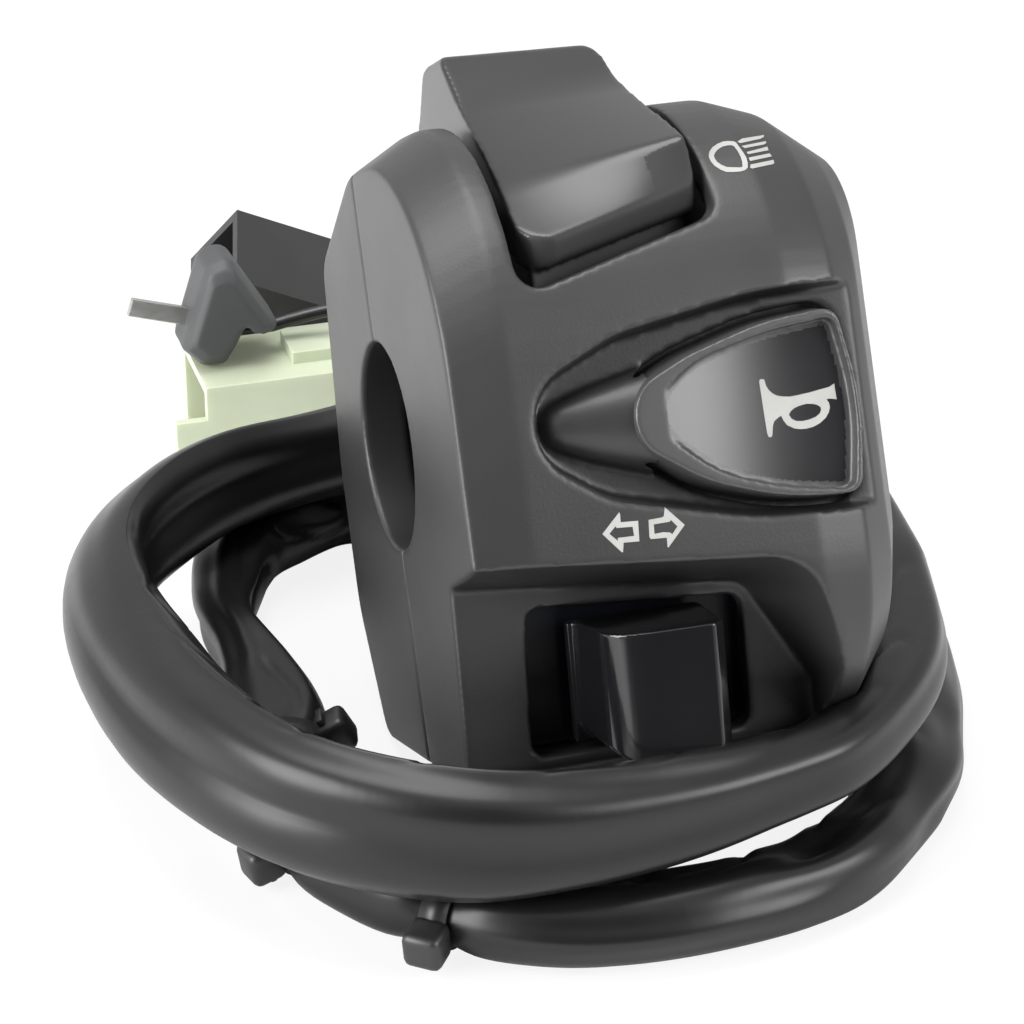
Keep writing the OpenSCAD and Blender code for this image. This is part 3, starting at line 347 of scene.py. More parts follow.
def surface(tree, drift, tones, sheen, height, strength, depth, **more):
    """A material's shader: tone and polish follow the drift, over a relief of that depth in mm."""
    tone = add(tree, "Mix", {"Factor": drift, "A": linear(tones[0]), "B": linear(tones[1])}, data_type="RGBA")
    polish = add(tree, "MapRange", {"Value": drift, "To Min": sheen[0], "To Max": sheen[1]})
    relief = add(tree, "Bump", {"Height": height, "Strength": strength, "Distance": depth * 0.001})
    skin = add(tree, "BsdfPrincipled", {"Base Color": tone.outputs["Result"], "Roughness": polish.outputs[0],
                                        "Normal": relief.outputs[0], **more})
    add(tree, "OutputMaterial", {"Surface": skin.outputs[0]})


sleeve_pvc, tree = fresh("sleeve_pvc")
along = add(tree, "UVMap", uv_map="along")
mm = add(tree, "Mapping", {"Vector": along.outputs[0], "Scale": (girth_mm, sleeve_mm, 1)})
stretch = add(tree, "Mapping", {"Vector": along.outputs[0], "Scale": (
    girth_mm / wrinkle_round, sleeve_mm / wrinkle_along, 1)})
wrinkle = add(tree, "TexNoise", {"Vector": stretch.outputs[0], "Scale": 1.0, "Detail": 3.0,
                                 "Distortion": 0.6})
dust = add(tree, "TexNoise", {"Vector": mm.outputs[0], "Scale": 1 / dust_mm, "Detail": 4.0})
surface(tree, dust.outputs[0], ("#0f0f10", "#19191a"), (0.28, 0.42), wrinkle.outputs[0], 0.2, 0.1,
        **{"IOR": 1.53, "Specular IOR Level": 0.34})
sleeve.data.materials.append(sleeve_pvc)
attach(sleeve, "housing")
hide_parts("harness_coil", "harness_tail")


# Housing: two shells moulded in black ABS with a satin finish, parted on the bar's axis and drawn
# together round the bar by three screws. The form is drawn upright and then leans back on the table.

def outline(corners, steps=10):
    """Points of a closed outline through corners (a, b, radius), each rounded by an arc."""
    points = []
    for k, (a, b, r) in enumerate(corners):
        here = Vector((a, b))
        u = (Vector(corners[k - 1][:2]) - here).normalized()
        v = (Vector(corners[(k + 1) % len(corners)][:2]) - here).normalized()
        half = acos(max(-1, min(1, u.dot(v)))) / 2
        turn = pi - 2 * half
        centre = here + (u + v).normalized() * r / sin(half)
        first, last = here + u * r / tan(half) - centre, here + v * r / tan(half) - centre
        points += [centre + (first * sin(turn * (1 - i / steps)) + last * sin(turn * i / steps)) / sin(turn)
                   for i in range(steps + 1)]
    return points


def grown(corners, d):
    """The corners of a counter-clockwise outline, moved outwards by d."""
    moved = []
    for k, (a, b, r) in enumerate(corners):
        here = Vector((a, b))
        e = (here - Vector(corners[k - 1][:2])).normalized()
        f = (Vector(corners[(k + 1) % len(corners)][:2]) - here).normalized()
        side = (Vector((e.y, -e.x)) + Vector((f.y, -f.x))) / (1 + e.dot(f))
        moved.append((a + side.x * d, b + side.y * d, max(0.2, r + (d if e.cross(f) > 0 else -d))))
    return moved


def loft(rings):
    """A closed skin through rings of points."""
    bm = bmesh.new()
    loops = [[bm.verts.new(p) for p in ring] for ring in rings]
    for a, b in zip(loops, loops[1:]):
        for k in range(len(a)):
            bm.faces.new((a[k - 1], a[k], b[k], b[k - 1]))
    bm.faces.new(loops[0])
    bm.faces.new(loops[-1])
    bmesh.ops.recalc_face_normals(bm, faces=bm.faces)
    return bm


def block(low, high):
    """A box between two corners."""
    bm = bmesh.new()
    low, high = Vector(low), Vector(high)
    bmesh.ops.create_cube(bm, size=1, matrix=Matrix.Translation((low + high) / 2) @ Matrix.Diagonal(
        (*(high - low), 1)))
    return bm


def rod(a, b, r, end_r=None, sides=64):
    """A round bar or cone from a to b."""
    bm = bmesh.new()
    a, b = Vector(a), Vector(b)
    bmesh.ops.create_cone(bm, cap_ends=True, segments=sides, radius1=r, radius2=r if end_r is None else end_r,
                          depth=(b - a).length, matrix=Matrix.Translation((a + b) / 2) @ (
                              (b - a).to_track_quat("Z", "Y").to_matrix().to_4x4()))
    return bm


def carve(bm, *tools):
    """The mesh after each tool is cut from it (-), joined to it (+) or kept in common with it (&)."""
    target = finished("carved", bm)
    spare = [target]
    for how, tool in tools:
        spare.append(finished("tool", tool))
        cut = target.modifiers.new("carve", "BOOLEAN")
        cut.operation = {"-": "DIFFERENCE", "+": "UNION", "&": "INTERSECT"}[how]
        cut.solver, cut.object = "EXACT", spare[-1]
    bpy.context.view_layer.update()
    done = bmesh.new()
    done.from_object(target, bpy.context.evaluated_depsgraph_get())
    for old in spare:
        bpy.data.meshes.remove(old.data)
    bmesh.ops.scale(done, vec=(1000, 1000, 1000), verts=done.verts)
    return done


def moulded(name, bm, grid, rounds, place=Matrix()):
    """The mesh with all its edges eased as a mould leaves them, set in its place."""
    bmesh.ops.transform(bm, matrix=place, verts=bm.verts)
    rough = finished("rough", bm)
    skin = rough.modifiers.new("skin", "REMESH")
    skin.mode, skin.voxel_size = "VOXEL", grid * 0.001
    bpy.context.view_layer.update()
    bm = bmesh.new()
    bm.from_object(rough, bpy.context.evaluated_depsgraph_get())
    bpy.data.meshes.remove(rough.data)
    for _ in range(rounds):
        bmesh.ops.smooth_vert(bm, verts=bm.verts, factor=0.5, use_axis_x=True, use_axis_y=True,
                              use_axis_z=True)
    bmesh.ops.scale(bm, vec=(1000, 1000, 1000), verts=bm.verts)
    return finished(name, bm, rounded=True)


def thinned(made, triangles):
    """The piece with about so many triangles, most of them left where the form bends."""
    thin = made.modifiers.new("thin", "DECIMATE")
    thin.ratio = triangles / (2 * len(made.data.polygons))
    bpy.context.view_layer.update()
    dense = made.data
    made.data = bpy.data.meshes.new_from_object(made.evaluated_get(bpy.context.evaluated_depsgraph_get()))
    made.modifiers.clear()
    bpy.data.meshes.remove(dense)
    made.data.name = made.name
    return made


leaning = Matrix.Rotation(-lean, 4, "X")
left_w, right_w, front_d = 23.5, 24.7, 32.0
wall_t, floor_t, end_wall = 2.5, 2.0, 5.0
# Further than any side of the part, for tools that cut right through
far = 60
# One cross-section: front depth, top height, rear depth, bottom at front and at rear, corner share
main_form = (front_d, 32.4, 26.5, 38.5, 32.5, 1)
# Stations along the bar and what each loses from the main form
stations = [(-left_w, (1, 3.4, 1, 1, 0.6, 0.06)), (-left_w + 6, (0, 0, 0, 0, 0, 0)),
            (right_w - 12.2, (0, 0, 0, 0, 0, 0)), (right_w - 6.9, (1.2, 2.1, 1, 2, 1.5, 0.10)),
            (right_w - 2.9, (5.6, 5.6, 3, 8.5, 6, 0.34)), (right_w, (12, 7.8, 6.5, 17, 14.5, 0.62))]


def section(x, inset=0.0):
    """The housing's outline across the bar at x, drawn in by the inset."""
    k = max(i for i in range(len(stations) - 1) if i == 0 or x >= stations[i][0])
    (x0, a), (x1, b) = stations[k], stations[k + 1]
    t = (x - x0) / (x1 - x0)
    f, top, rear, bf, br, s = (m - mix(p, q, t) for m, p, q in zip(main_form, a, b))
    f, top, rear, bf, br = (v - inset for v in (f, top, rear, bf, br))
    s -= 0.09 * inset / wall_t
    corners = [(-f, top, 26 * s), (-f, -bf, 21 * s), (rear - 6, -br, 4 * s), (rear, -0.55 * br, 12 * s),
               (rear, -0.06 * br, 16 * s), (rear - 5 * s, top - 8.5 * s, 5 * s), (2, top, 15 * s)]
    return [(x, p.x, p.y) for p in outline(corners, 20)]


def outer_body(inset=0.0):
    return loft([section(x, inset) for x, _ in stations])


def inner_cave():
    return loft([section(x, wall_t) for x in (-left_w + end_wall, stations[2][0], stations[3][0],
                                              right_w - end_wall)])


# Outlines as seen from the front are corners (x, z, radius).
recess_deep, recess_over, recess_draft = 3.7, 6, 0.6
recess_y = -front_d + recess_deep
bullet = [(-15.4, 3.8, 6), (-15.4, -3.6, 6), (-8.5, -8.3, 10), (6, -11.8, 30), (34, -13.4, 0.5),
          (34, 11.6, 0.5), (8, 10.6, 40), (-6, 8.1, 12)]


def front_ring(y, corners):
    """An outline as seen from the front, at a depth."""
    return [(p.x, y, p.y) for p in outline(corners)]


def horn_recess(d):
    """The bullet-shaped hollow round the horn button, grown by d."""
    flare = recess_draft * (recess_over / recess_deep - 1)
    return loft([front_ring(recess_y + d, grown(bullet, d - recess_draft)),
                 front_ring(recess_y - recess_over, grown(bullet, d + flare))])


pocket_tilt = radians(9.7)
pocket_rim = [(-60, -9.2, 1), (-60, -70, 1), (17, -70, 1), (16.2, -28, 3), (13.2, -15.8, 9)]
pocket_foot = [(-60, -11.4, 1), (-60, -70, 1), (15, -70, 1), (14, -29, 3), (7.3, -18.3, 3)]


def pocket_floor(z):
    return -20.6 + (-14 - z) * tan(pocket_tilt)


def turn_pocket(d):
    """The open pocket round the turn-signal knob, grown by d."""
    foot = outline(grown(pocket_foot, d))
    return loft([[(p.x, pocket_floor(p.y) + d / cos(pocket_tilt), p.y) for p in foot],
                 front_ring(-front_d - 4, grown(pocket_rim, d))])


def rocker_slot():
    slot_path = [(-15.0, far, 1), (-15.0, 12.85, 2.4), (7.2, 18.9, 2.4), (7.2, far, 1)]
    return loft([front_ring(y, slot_path) for y in (15.4, -far)])


button_path = [(-5.9, 2.5, 4.8), (-5.9, -3.4, 4.8), (1, -8.1, 18), (9.5, -10.9, 30), (17.7, -11.2, 2.2),
               (18.9, -1.5, 30), (17.2, 8.6, 2.2), (9, 8, 30), (0.5, 5.5, 18)]
window_x, turn_z = -4.3, -26.3
turn_frame = (Matrix.Translation((window_x, pocket_floor(turn_z), turn_z))
              @ Matrix.Rotation(pocket_tilt, 4, "X"))
window_path = [(-11.5, 8.2, 1.6), (-12.1, -7.6, 1.6), (11.5, -7.6, 1.6), (11.5, 6.5, 1.6)]
turn_window = loft([[turn_frame @ Vector((p.x, y, p.y)) for p in outline(window_path)] for y in (-1, 3.5)])
# Screws: place along the bar, height, depth of the head's seat, radius of the boss
screw_places = [(13.5, 19.5, 15.5, 3.4), (14, -19, 20, 3.4), (-15.5, -14.6, 20, 2.8)]
bar_r, pivot, shell_triangles = 11.1, (-8.5, 22.5), 190000

hollow = carve(inner_cave(), ("-", horn_recess(floor_t)), ("-", turn_pocket(floor_t)),
               *(("-", rod((x, -far, z), (x, far, z), r)) for x, z, _, r in screw_places))
# The nose ahead of the button swells towards it and is fuller below its ridge
nose = [(-14.1, 0.8), (-13.6, 1.6), (-12.4, 2.2), (-9, 3.2), (-3, 4.6)]
ramp = carve(loft([[(x, recess_y - r * cos(t), r * sin(t) * (1.35 if t < 0 else 1)) for t in (
    pi * (k - 24) / 24 for k in range(48))] for x, r in nose]),
    ("&", block((-far, -far, -far), (far, recess_y + 0.01, far))))
seats = carve(block((-19.5, pivot[0] - 5, 11.7), (-16.2, pivot[0] + 5, 27.5)),
              ("+", block((7.5, -front_d, 11.7), (9.7, -1, 30))), ("&", outer_body(0.2)))
front = carve(
    outer_body(), ("&", block((-far, -far, -far), (far, 0, far))), ("-", hollow), ("-", horn_recess(0)),
    ("-", turn_pocket(0)), ("+", ramp), ("+", seats),
    *(("+", rod((-10.6, recess_y + 1, z), (-10.6, -13.9, z), 2)) for z in (-5, 5)),
    ("+", block((17.3, -16.3, -5), (20.7, -13.9, 5))),
    ("-", rod((-far, 0, 0), (far, 0, 0), bar_r, sides=96)), ("-", rocker_slot()),
    ("-", loft([front_ring(y, grown(button_path, 0.5)) for y in (recess_y + 4, recess_y - 2)])),
    ("-", turn_window), ("-", rod((-18.1, *pivot), (10, *pivot), 2.05)),
    *(("-", rod((x, -10, z), (x, far, z), 1.95)) for x, z, _, _ in screw_places))
front_shell = thinned(moulded("front_shell", front, 0.3, 6, leaning), shell_triangles)
rear = carve(
    outer_body(), ("&", block((-far, 0, -far), (far, far, far))), ("-", inner_cave()),
    *(("+", carve(rod((x, 0.02, z), (x, far, z), r + 0.9), ("&", outer_body(0.2))))
      for x, z, _, r in screw_places),
    ("-", rod((-far, 0, 0), (far, 0, 0), bar_r, sides=96)), ("-", rocker_slot()),
    *(("-", rod((x, -1, z), (x, far, z), 2.2)) for x, z, _, _ in screw_places),
    *(("-", rod((x, y, z), (x, far, z), 3.7)) for x, z, y, _ in screw_places),
    ("-", rod((1, 13.1, -9.5), (1, far, -9.5), 6.8)))
rear_shell = thinned(moulded("rear_shell", rear, 0.3, 6, leaning), shell_triangles)


def plastic(name, tones, sheen, grain, depth, patch=14.0, **more):
    """A moulded plastic: tone and polish drift in patches, and a fine grain breaks the reflection up.

    The grain, its depth and the patches are in millimetres.
    """
    made, tree = fresh(name)
    place = add(tree, "TexCoord").outputs["Object"]
    drift = add(tree, "TexNoise", {"Vector": place, "Scale": 1000 / patch, "Detail": 3.0})
    fine = add(tree, "TexNoise", {"Vector": place, "Scale": 1000 / grain, "Detail": 2.0})
    surface(tree, drift.outputs[0], tones, sheen, fine.outputs[0], 0.3, depth, IOR=1.53, **more)
    return made


def fit(made, body, node, slot, *materials):
    """Gives a piece its materials, on its body and in place of the part's own solid; the slot is not used."""
    for material in materials:
        made.data.materials.append(material)
    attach(made, body)
    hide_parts(node)


# The spark-eroded grain is really about 0.1 mm and is drawn at 0.3 mm so that it shows.
housing_abs = plastic("satin_abs", ("#232324", "#2b2b2c"), (0.36, 0.50), 0.3, 0.045)
# The bore is left as the tool cut it: duller, and its tone is painted near-black as painted shade inside the
# bore.
bore_painted_shade = plastic("bore_painted_shade", ("#0e0e0f", "#151516"), (0.55, 0.70), 0.4, 0.03)
for made, node in ((front_shell, "front_housing"), (rear_shell, "rear_housing")):
    fit(made, "housing", node, "housing_satin", housing_abs, bore_painted_shade)
    # Faces inside the bore, short of its ends, take the second material: the painted shade.
    for f in made.data.polygons:
        at = leaning.inverted() @ (f.center * 1000)
        in_bore = at.y ** 2 + at.z ** 2 < (bar_r + 0.6) ** 2
        f.material_index = int(-left_w + 0.7 < at.x < right_w - 0.7 and in_bore)

# The sleeve is soft: where it lies against the housing, its wall gives way and stays this far off it.
gap, reach = 0.0002, 0.008
shell = BVHTree.FromObject(front_shell, bpy.context.evaluated_depsgraph_get())
for v in sleeve.data.vertices:
    hit, normal, _, _ = shell.find_nearest(v.co, reach)
    if hit and v.co.y < -0.01 and (v.co - hit).dot(normal) < gap:
        v.co = hit + normal * gap


# Dimmer rocker: a thumb pad moulded in black ABS, smoother than the housing. Two cheeks under it turn on
# 4 mm stubs in the front shell; a skirt below the front edge closes the slot, and a neck holds the plunger.

rocker_left, rocker_right = -13.5, 6.2
rocker_mid = (rocker_left + rocker_right) / 2
# The pad's outline at either side, as corners (y, z, radius) from its pivot; the skirt's has no radii
pad_left = [(20.3, 5, 0.8), (20.5, 11, 4), (15, 17.75, 3), (7.3, 17.95, 1.4), (0.5, 11.6, 30),
            (-13.2, 1.8, 40), (-21.1, -4.8, 1), (-20.1, -8.1, 0.8), (-8.5, -0.5, 3), (6.5, 4.5, 3)]
pad_right = [(20.3, 5, 0.8), (20.5, 11, 4), (16, 17.7, 3), (8.6, 17.7, 1.4), (2.5, 12.9, 25), (-16.9, 5.0, 1),
             (-17.5, 0.1, 1), (-16.5, -3, 0.8), (-7.5, 1.3, 3), (6.5, 4.5, 3)]
skirt_left = [(-18.6, -5.6), (-17.4, -5.0), (-17.4, -12.4), (-18.6, -12.4)]
skirt_right = [(-15.0, -1.4), (-13.8, -0.8), (-13.8, -8.8), (-15.0, -8.8)]
pad_slope = radians(17.35)
at_pivot = Matrix.Translation((0, *pivot))


def side_ring(x, points):
    return [at_pivot @ Vector((x, p[0], p[1])) for p in points]


def plan_front(corner):
    """How far forward a corner of the pad lies, seen square to the pad's slope."""
    return corner[0] * cos(pad_slope) + corner[1] * sin(pad_slope) - 0.3


plan = outline([(rocker_left - 0.3, plan_front(pad_left[6]), 4),
                (rocker_right, plan_front(pad_right[6]), 1.6),
                (rocker_right, far, 1), (rocker_left - 0.3, far, 1)])
plan_turn = at_pivot @ Matrix.Rotation(pad_slope, 4, "X")
face = outline([(rocker_left - 0.3, -far, 1), (rocker_right, -far, 1), (rocker_right, 0, 8),
                (rocker_right - 1.0, 17.9, 2.4), (rocker_left + 0.9, 18.35, 1.7),
                (rocker_left + 0.6, 6, 8), (rocker_left - 0.3, -4, 8)])
plunger_ahead = Vector((0, sin(radians(7)), -cos(radians(7))))
plunger_from = Vector((rocker_mid, *pivot))
pad_steps = 48
pad_sides = list(zip(outline(pad_left, 14), outline(pad_right, 14)))
pad = carve(
    loft([side_ring(mix(rocker_left, rocker_right + 0.3, share), [a.lerp(b, share) for a, b in pad_sides])
          for share in (k / pad_steps for k in range(pad_steps + 1))]),
    ("&", loft([[plan_turn @ Vector((p.x, p.y, z)) for p in plan] for z in (-far, far)])),
    ("&", loft([[at_pivot @ Vector((p.x, y, p.y)) for p in face] for y in (far, -far)])),
    ("+", loft([side_ring(rocker_left + 0.9, skirt_left), side_ring(rocker_right - 0.9, skirt_right)])),
    *(("+", rod((x, *pivot), (x + 2.2, *pivot), 4)) for x in (rocker_left + 0.6, rocker_right - 2.8)),
    ("+", rod((-17.9, *pivot), (rocker_left + 1.7, *pivot), 2)),
    ("+", rod((rocker_right - 1.7, *pivot), (9.6, *pivot), 2)),
    ("+", rod(plunger_from - plunger_ahead * 4, plunger_from + plunger_ahead * 5.2, 2.9)),
    ("-", rod(plunger_from - plunger_ahead, plunger_from + plunger_ahead * 20, 1.55)))
rocker = moulded("rocker_pad", pad, 0.25, 5, leaning)
# The skirt and the front edge come matt from the mould, and their tone is painted darker than the pad's as
# painted shade, where they sit in the slot's shadow.
fit(rocker, "rocker", "dimmer_rocker", "rocker_semi_gloss",
    plastic("polished_abs", ("#1f1f20", "#272728"), (0.26, 0.36), 0.3, 0.012),
    plastic("matt_edge_painted_shade", ("#0c0c0d", "#121213"), (0.55, 0.70), 0.4, 0.02))
# Faces that look forward and not up take the second material, with its painted shade.
for f in rocker.data.polygons:
    facing = leaning.inverted().to_3x3() @ f.normal
    f.material_index = 1 if facing.y < -0.75 and facing.z < 0.4 else 0


# Horn button: one glossy moulding with a thumb dish, held behind the recess floor by its flange. The boss
# at its back carries the contact disc inside the return spring.

button_face, flange_y = recess_y - 4.7, recess_y + floor_t + 0.1
dish_path = [(-2.9, 1.4, 3.6), (-2.9, -2.2, 3.6), (2.6, -7.1, 16), (9.5, -9.3, 30), (16.6, -10.4, 1.2),
             (17.9, -1.5, 30), (16.5, 7.2, 1.2), (9, 6.4, 30), (1.6, 4.6, 12)]
dish_x, dish_r, dish_deep = 11.5, 50.0, 1.9
dish_y = button_face + dish_deep - dish_r
dish = carve(loft([front_ring(button_face + 4, dish_path), front_ring(button_face - 2, dish_path)]),
             ("&", rod((dish_x, dish_y, -far), (dish_x, dish_y, far), dish_r, sides=512)))
button = carve(
    loft([front_ring(flange_y + 0.01, button_path), front_ring(button_face, grown(button_path, -0.5))]),
    ("+", carve(loft([front_ring(y, grown(button_path, 1.4)) for y in (flange_y + 1.6, flange_y)]),
                ("&", block((-far, -far, -far), (18.3, far, far))))),
    ("+", rod((7, flange_y, -1), (7, -17.6, -1), 3)), ("-", dish))
horn = moulded("horn_cap", button, 0.2, 2, leaning)
# The rim round the dish is left satin, and its tone is painted lighter than the dish's: a painted sheen.
fit(horn, "horn", "horn_button", "button_gloss",
    plastic("gloss_abs", ("#1c1c1e", "#222224"), (0.22, 0.30), 0.4, 0.008),
    plastic("satin_rim_painted_sheen", ("#3a3a3b", "#444445"), (0.30, 0.40), 0.3, 0.02))
dish_wall = outline(grown(dish_path, -0.7))
# Faces outside the dish's wall take the rim's material, with its painted sheen.
for f in horn.data.polygons:
    at = leaning.inverted() @ (f.center * 1000)
    inside = False
    for a, b in zip(dish_wall, dish_wall[1:] + dish_wall[:1]):
        if (a.y > at.z) != (b.y > at.z) and at.x < a.x + (at.z - a.y) * (b.x - a.x) / (b.y - a.y):
            inside = not inside
    f.material_index = 0 if inside else 1


# Turn-signal switch: a glossy knob on a stem slides sideways in a window of the pocket floor and is pushed
# in to cancel. Behind it a black tray closes the window and guides the laminate carriage.

def cad_mesh(node):
    """The part's own solid as one merged mesh in millimetres."""
    bm = bmesh.new()
    bm.from_mesh(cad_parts[node].data)
    bmesh.ops.transform(bm, matrix=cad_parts[node].matrix_world, verts=bm.verts)
    bmesh.ops.scale(bm, vec=(1000, 1000, 1000), verts=bm.verts)
    bmesh.ops.remove_doubles(bm, verts=bm.verts, dist=1e-4)
    return bm


def coat(material, *nodes):
    """Gives the part's own solids one material."""
    for node in nodes:
        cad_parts[node].data.materials.clear()
        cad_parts[node].data.materials.append(material)


knob_out, knob_low, knob_top, stem_end = 11.0, -7.0, 6.4, 9.6
# The block's plan, from its flange outwards: round at the left, with a bevelled strip down its right edge
knob_plan = [(-6.7, 0.3, 0.3), (-5.9, -knob_out, 4.4), (5.0, -knob_out, 0.2),
             (6.3, 1.3 - knob_out, 0.2), (6.9, 0.3, 0.3)]
knob_edge = [(-7, knob_top, 0.9), (-7, knob_low, 4.0), (7, knob_low, 1.3), (7, knob_top, 0.8)]
knob_block = carve(
    loft([[(p.x, p.y, z) for p in outline(knob_plan)] for z in (knob_low, knob_top)]),
    ("&", loft([front_ring(y, knob_edge) for y in (20, -20)])),
    ("+", block((-7.3, 0.29, knob_low + 0.4), (7.3, 1.7, knob_top - 0.4))),
    ("+", rod((0, 0.3, 0), (0, stem_end, 0), 2.4)))
knob = moulded("turn_signal_knob", knob_block, 0.15, 4, leaning @ turn_frame)
fit(knob, "knob", "turn_knob", "button_gloss",
    plastic("knob_gloss", ("#101012", "#161618"), (0.10, 0.16), 0.4, 0.006))
coat(plastic("tray_black", ("#0d0f16", "#11131a"), (0.20, 0.30), 0.5, 0.006), "turn_guide_tray")


# Inner switch parts: paper laminate boards and carriage, brass contacts and rivets, steel springs. They
# are held between the shells and are only seen through the slots and the bar's bore.

def metal(name, tones, sheen, streak):
    """A plated or bare metal with fine drawn streaks along x, a streak length in millimetres apart."""
    made, tree = fresh(name)
    place = add(tree, "TexCoord").outputs["Object"]
    drawn = add(tree, "Mapping", {"Vector": place, "Scale": (200 / streak, 1000 / streak, 1000 / streak)})
    line = add(tree, "TexNoise", {"Vector": drawn.outputs[0], "Scale": 1.0, "Detail": 3.0})
    surface(tree, line.outputs[0], tones, sheen, line.outputs[0], 0.2, 0.01, Metallic=1.0)
    return made


brass = metal("brass", ("#b08d4a", "#c8a860"), (0.22, 0.40), 0.4)
coat(brass, "dimmer_plunger", "dimmer_contact_bridge", "dimmer_terminals", "horn_contact_disc",
     "horn_terminals", "turn_wiper", "turn_terminals", "natural_connector_terminals",
     "black_connector_terminals")
spring_steel = metal("spring_steel", ("#8e9095", "#b4b6ba"), (0.25, 0.40), 0.3)
coat(spring_steel, "dimmer_plunger_spring", "horn_return_spring", "turn_push_spring", "turn_detent_leaf")

# The laminate shows its paper weave as two crossed waves. It is really under 1 mm and is drawn at 5 mm so
# that it shows; a wave of this texture is pi / 10 m long at scale 1.
wave_scale = 62.5
laminate, tree = fresh("paper_laminate")
place = add(tree, "TexCoord").outputs["Object"]
warp, weft = (add(tree, "TexWave", {"Vector": place, "Scale": wave_scale, "Distortion": 1.5},
                  bands_direction=way) for way in "XZ")
weave = add(tree, "Math", {0: warp.outputs["Fac"], 1: weft.outputs["Fac"]}, operation="MULTIPLY")
tone = add(tree, "Mix", {"Factor": weave.outputs[0], "A": linear("#4a2a18"), "B": linear("#6b3f24")},
           data_type="RGBA")
board = add(tree, "BsdfPrincipled", {"Base Color": tone.outputs["Result"], "Roughness": 0.55})
add(tree, "OutputMaterial", {"Surface": board.outputs[0]})
coat(laminate, "dimmer_switch_base", "horn_contact_base", "turn_contact_base", "turn_carriage")

# Screws: plated steel with a cross slot, set in from the rear.
screws = moulded("screws", cad_mesh("housing_screws"), 0.22, 2)
fit(screws, "housing", "housing_screws", "plated_steel",
    metal("zinc_plate", ("#8d8e8c", "#a9aaa6"), (0.28, 0.42), 0.5))


# Grommet: a rubber bush clipped into the rear shell's outlet. It bears on the sleeve all round.

grommet = moulded("grommet", cad_mesh("harness_grommet"), 0.3, 3)
fit(grommet, "housing", "harness_grommet", "black_rubber",
    plastic("rubber", ("#242425", "#2e2f30"), (0.55, 0.70), 0.5, 0.03, 9.0))


# Cable ties: nylon straps pulled tight round the lower turn, so that the sleeve is pinched under each. The
# head is a small block on the strap, and the tail is cut off a little way past it.

def brick(low, high, ease, steps):
    """A box between two corners, with its edges rounded."""
    bm = block(low, high)
    bmesh.ops.bevel(bm, geom=bm.edges[:], offset=ease, affect="EDGES", segments=steps, profile=0.5,
                    material=-1)
    return bm


def tie(i, head_angle, tail):
    """One strap round the sleeve at that ring, its head at an angle, with its tail's length."""
    bm = bmesh.new()
    ahead, across, up = axes(sleeve_line, i)
    middle = sleeve_line[i]

    def at(angle, out):
        p = sleeve_section(i, angle) - middle
        return middle + p + p.normalized() * out

    strap = ((0.0, -1.4), (0.8, -1.5), (0.8, 1.5), (0.0, 1.4))
    rings = [[bm.verts.new(at(k * pi / 24, out) + ahead * side) for out, side in strap] for k in range(48)]
    for a, b in zip(rings, rings[1:] + rings[:1]):
        for k in range(4):
            bm.faces.new((a[k], a[(k + 1) % 4], b[(k + 1) % 4], b[k]))
    bmesh.ops.recalc_face_normals(bm, faces=bm.faces)
    out = (across * cos(head_angle) + up * sin(head_angle)).normalized()
    along = ahead.cross(out)
    turn = Matrix((out, along, ahead)).transposed().to_4x4()
    head = brick((-0.4, -2.1, -2.1), (3.5, 2.1, 2.1), 0.9, 3)
    end = brick((0.7, 1.2, -1.3), (1.5, 1.9 + tail, 1.3), 0.2, 2)
    spot = Matrix.Translation(at(head_angle, 0.3)) @ turn
    for extra in (head, end):
        bmesh.ops.transform(extra, matrix=spot, verts=extra.verts)
        whole = bpy.data.meshes.new("extra")
        extra.to_mesh(whole)
        extra.free()
        bm.from_mesh(whole)
        bpy.data.meshes.remove(whole)
    return bm


nylon_black = plastic("black_nylon", ("#1d1d1e", "#262627"), (0.36, 0.48), 0.6, 0.02, 8.0)
straps = []
for k, (i, head_angle, tail) in enumerate(tie_places):
    straps.append(finished(f"cable_tie_{k + 1}", tie(i, radians(head_angle), tail), rounded=True))
    fit(straps[-1], "housing", "cable_ties", "black_nylon", nylon_black)


# Connectors: nylon mouldings, the natural one with a latch and a tab, the black one plain. The leads are
# crimped to brass terminals that lock inside.

def eased(name, node, ease):
    """The part's solid with every sharp edge rounded a little."""
    bm = cad_mesh(node)
    bmesh.ops.dissolve_limit(bm, angle_limit=radians(2), verts=bm.verts, edges=bm.edges)
    sharp = [e for e in bm.edges if len(e.link_faces) == 2 and e.calc_face_angle() > radians(40)]
    bmesh.ops.bevel(bm, geom=sharp, offset=ease, affect="EDGES", segments=3, profile=0.5, material=-1,
                    clamp_overlap=True)
    for f in bm.faces:
        f.smooth = f.calc_area() < 2
    return finished(name, bm)


natural_plug = eased("natural_plug", "natural_connector", 0.35)
# Natural nylon lets a little light in.
fit(natural_plug, "housing", "natural_connector", "natural_nylon", plastic(
    "natural_nylon", ("#b2bba0", "#cad1bb"), (0.35, 0.48), 0.8, 0.02, 9.0,
    **{"Subsurface Weight": 0.35, "Subsurface Radius": (0.004, 0.004, 0.003), "Subsurface Scale": 0.5}))
black_plug = eased("black_plug", "black_connector", 0.4)
fit(black_plug, "housing", "black_connector", "black_nylon", nylon_black)


# Earth boot: a soft rubber hood over the crimp of the earth blade, open below where the lead goes in. It
# lies on the natural connector and has sagged out of shape. The blade is stamped from tinned brass.

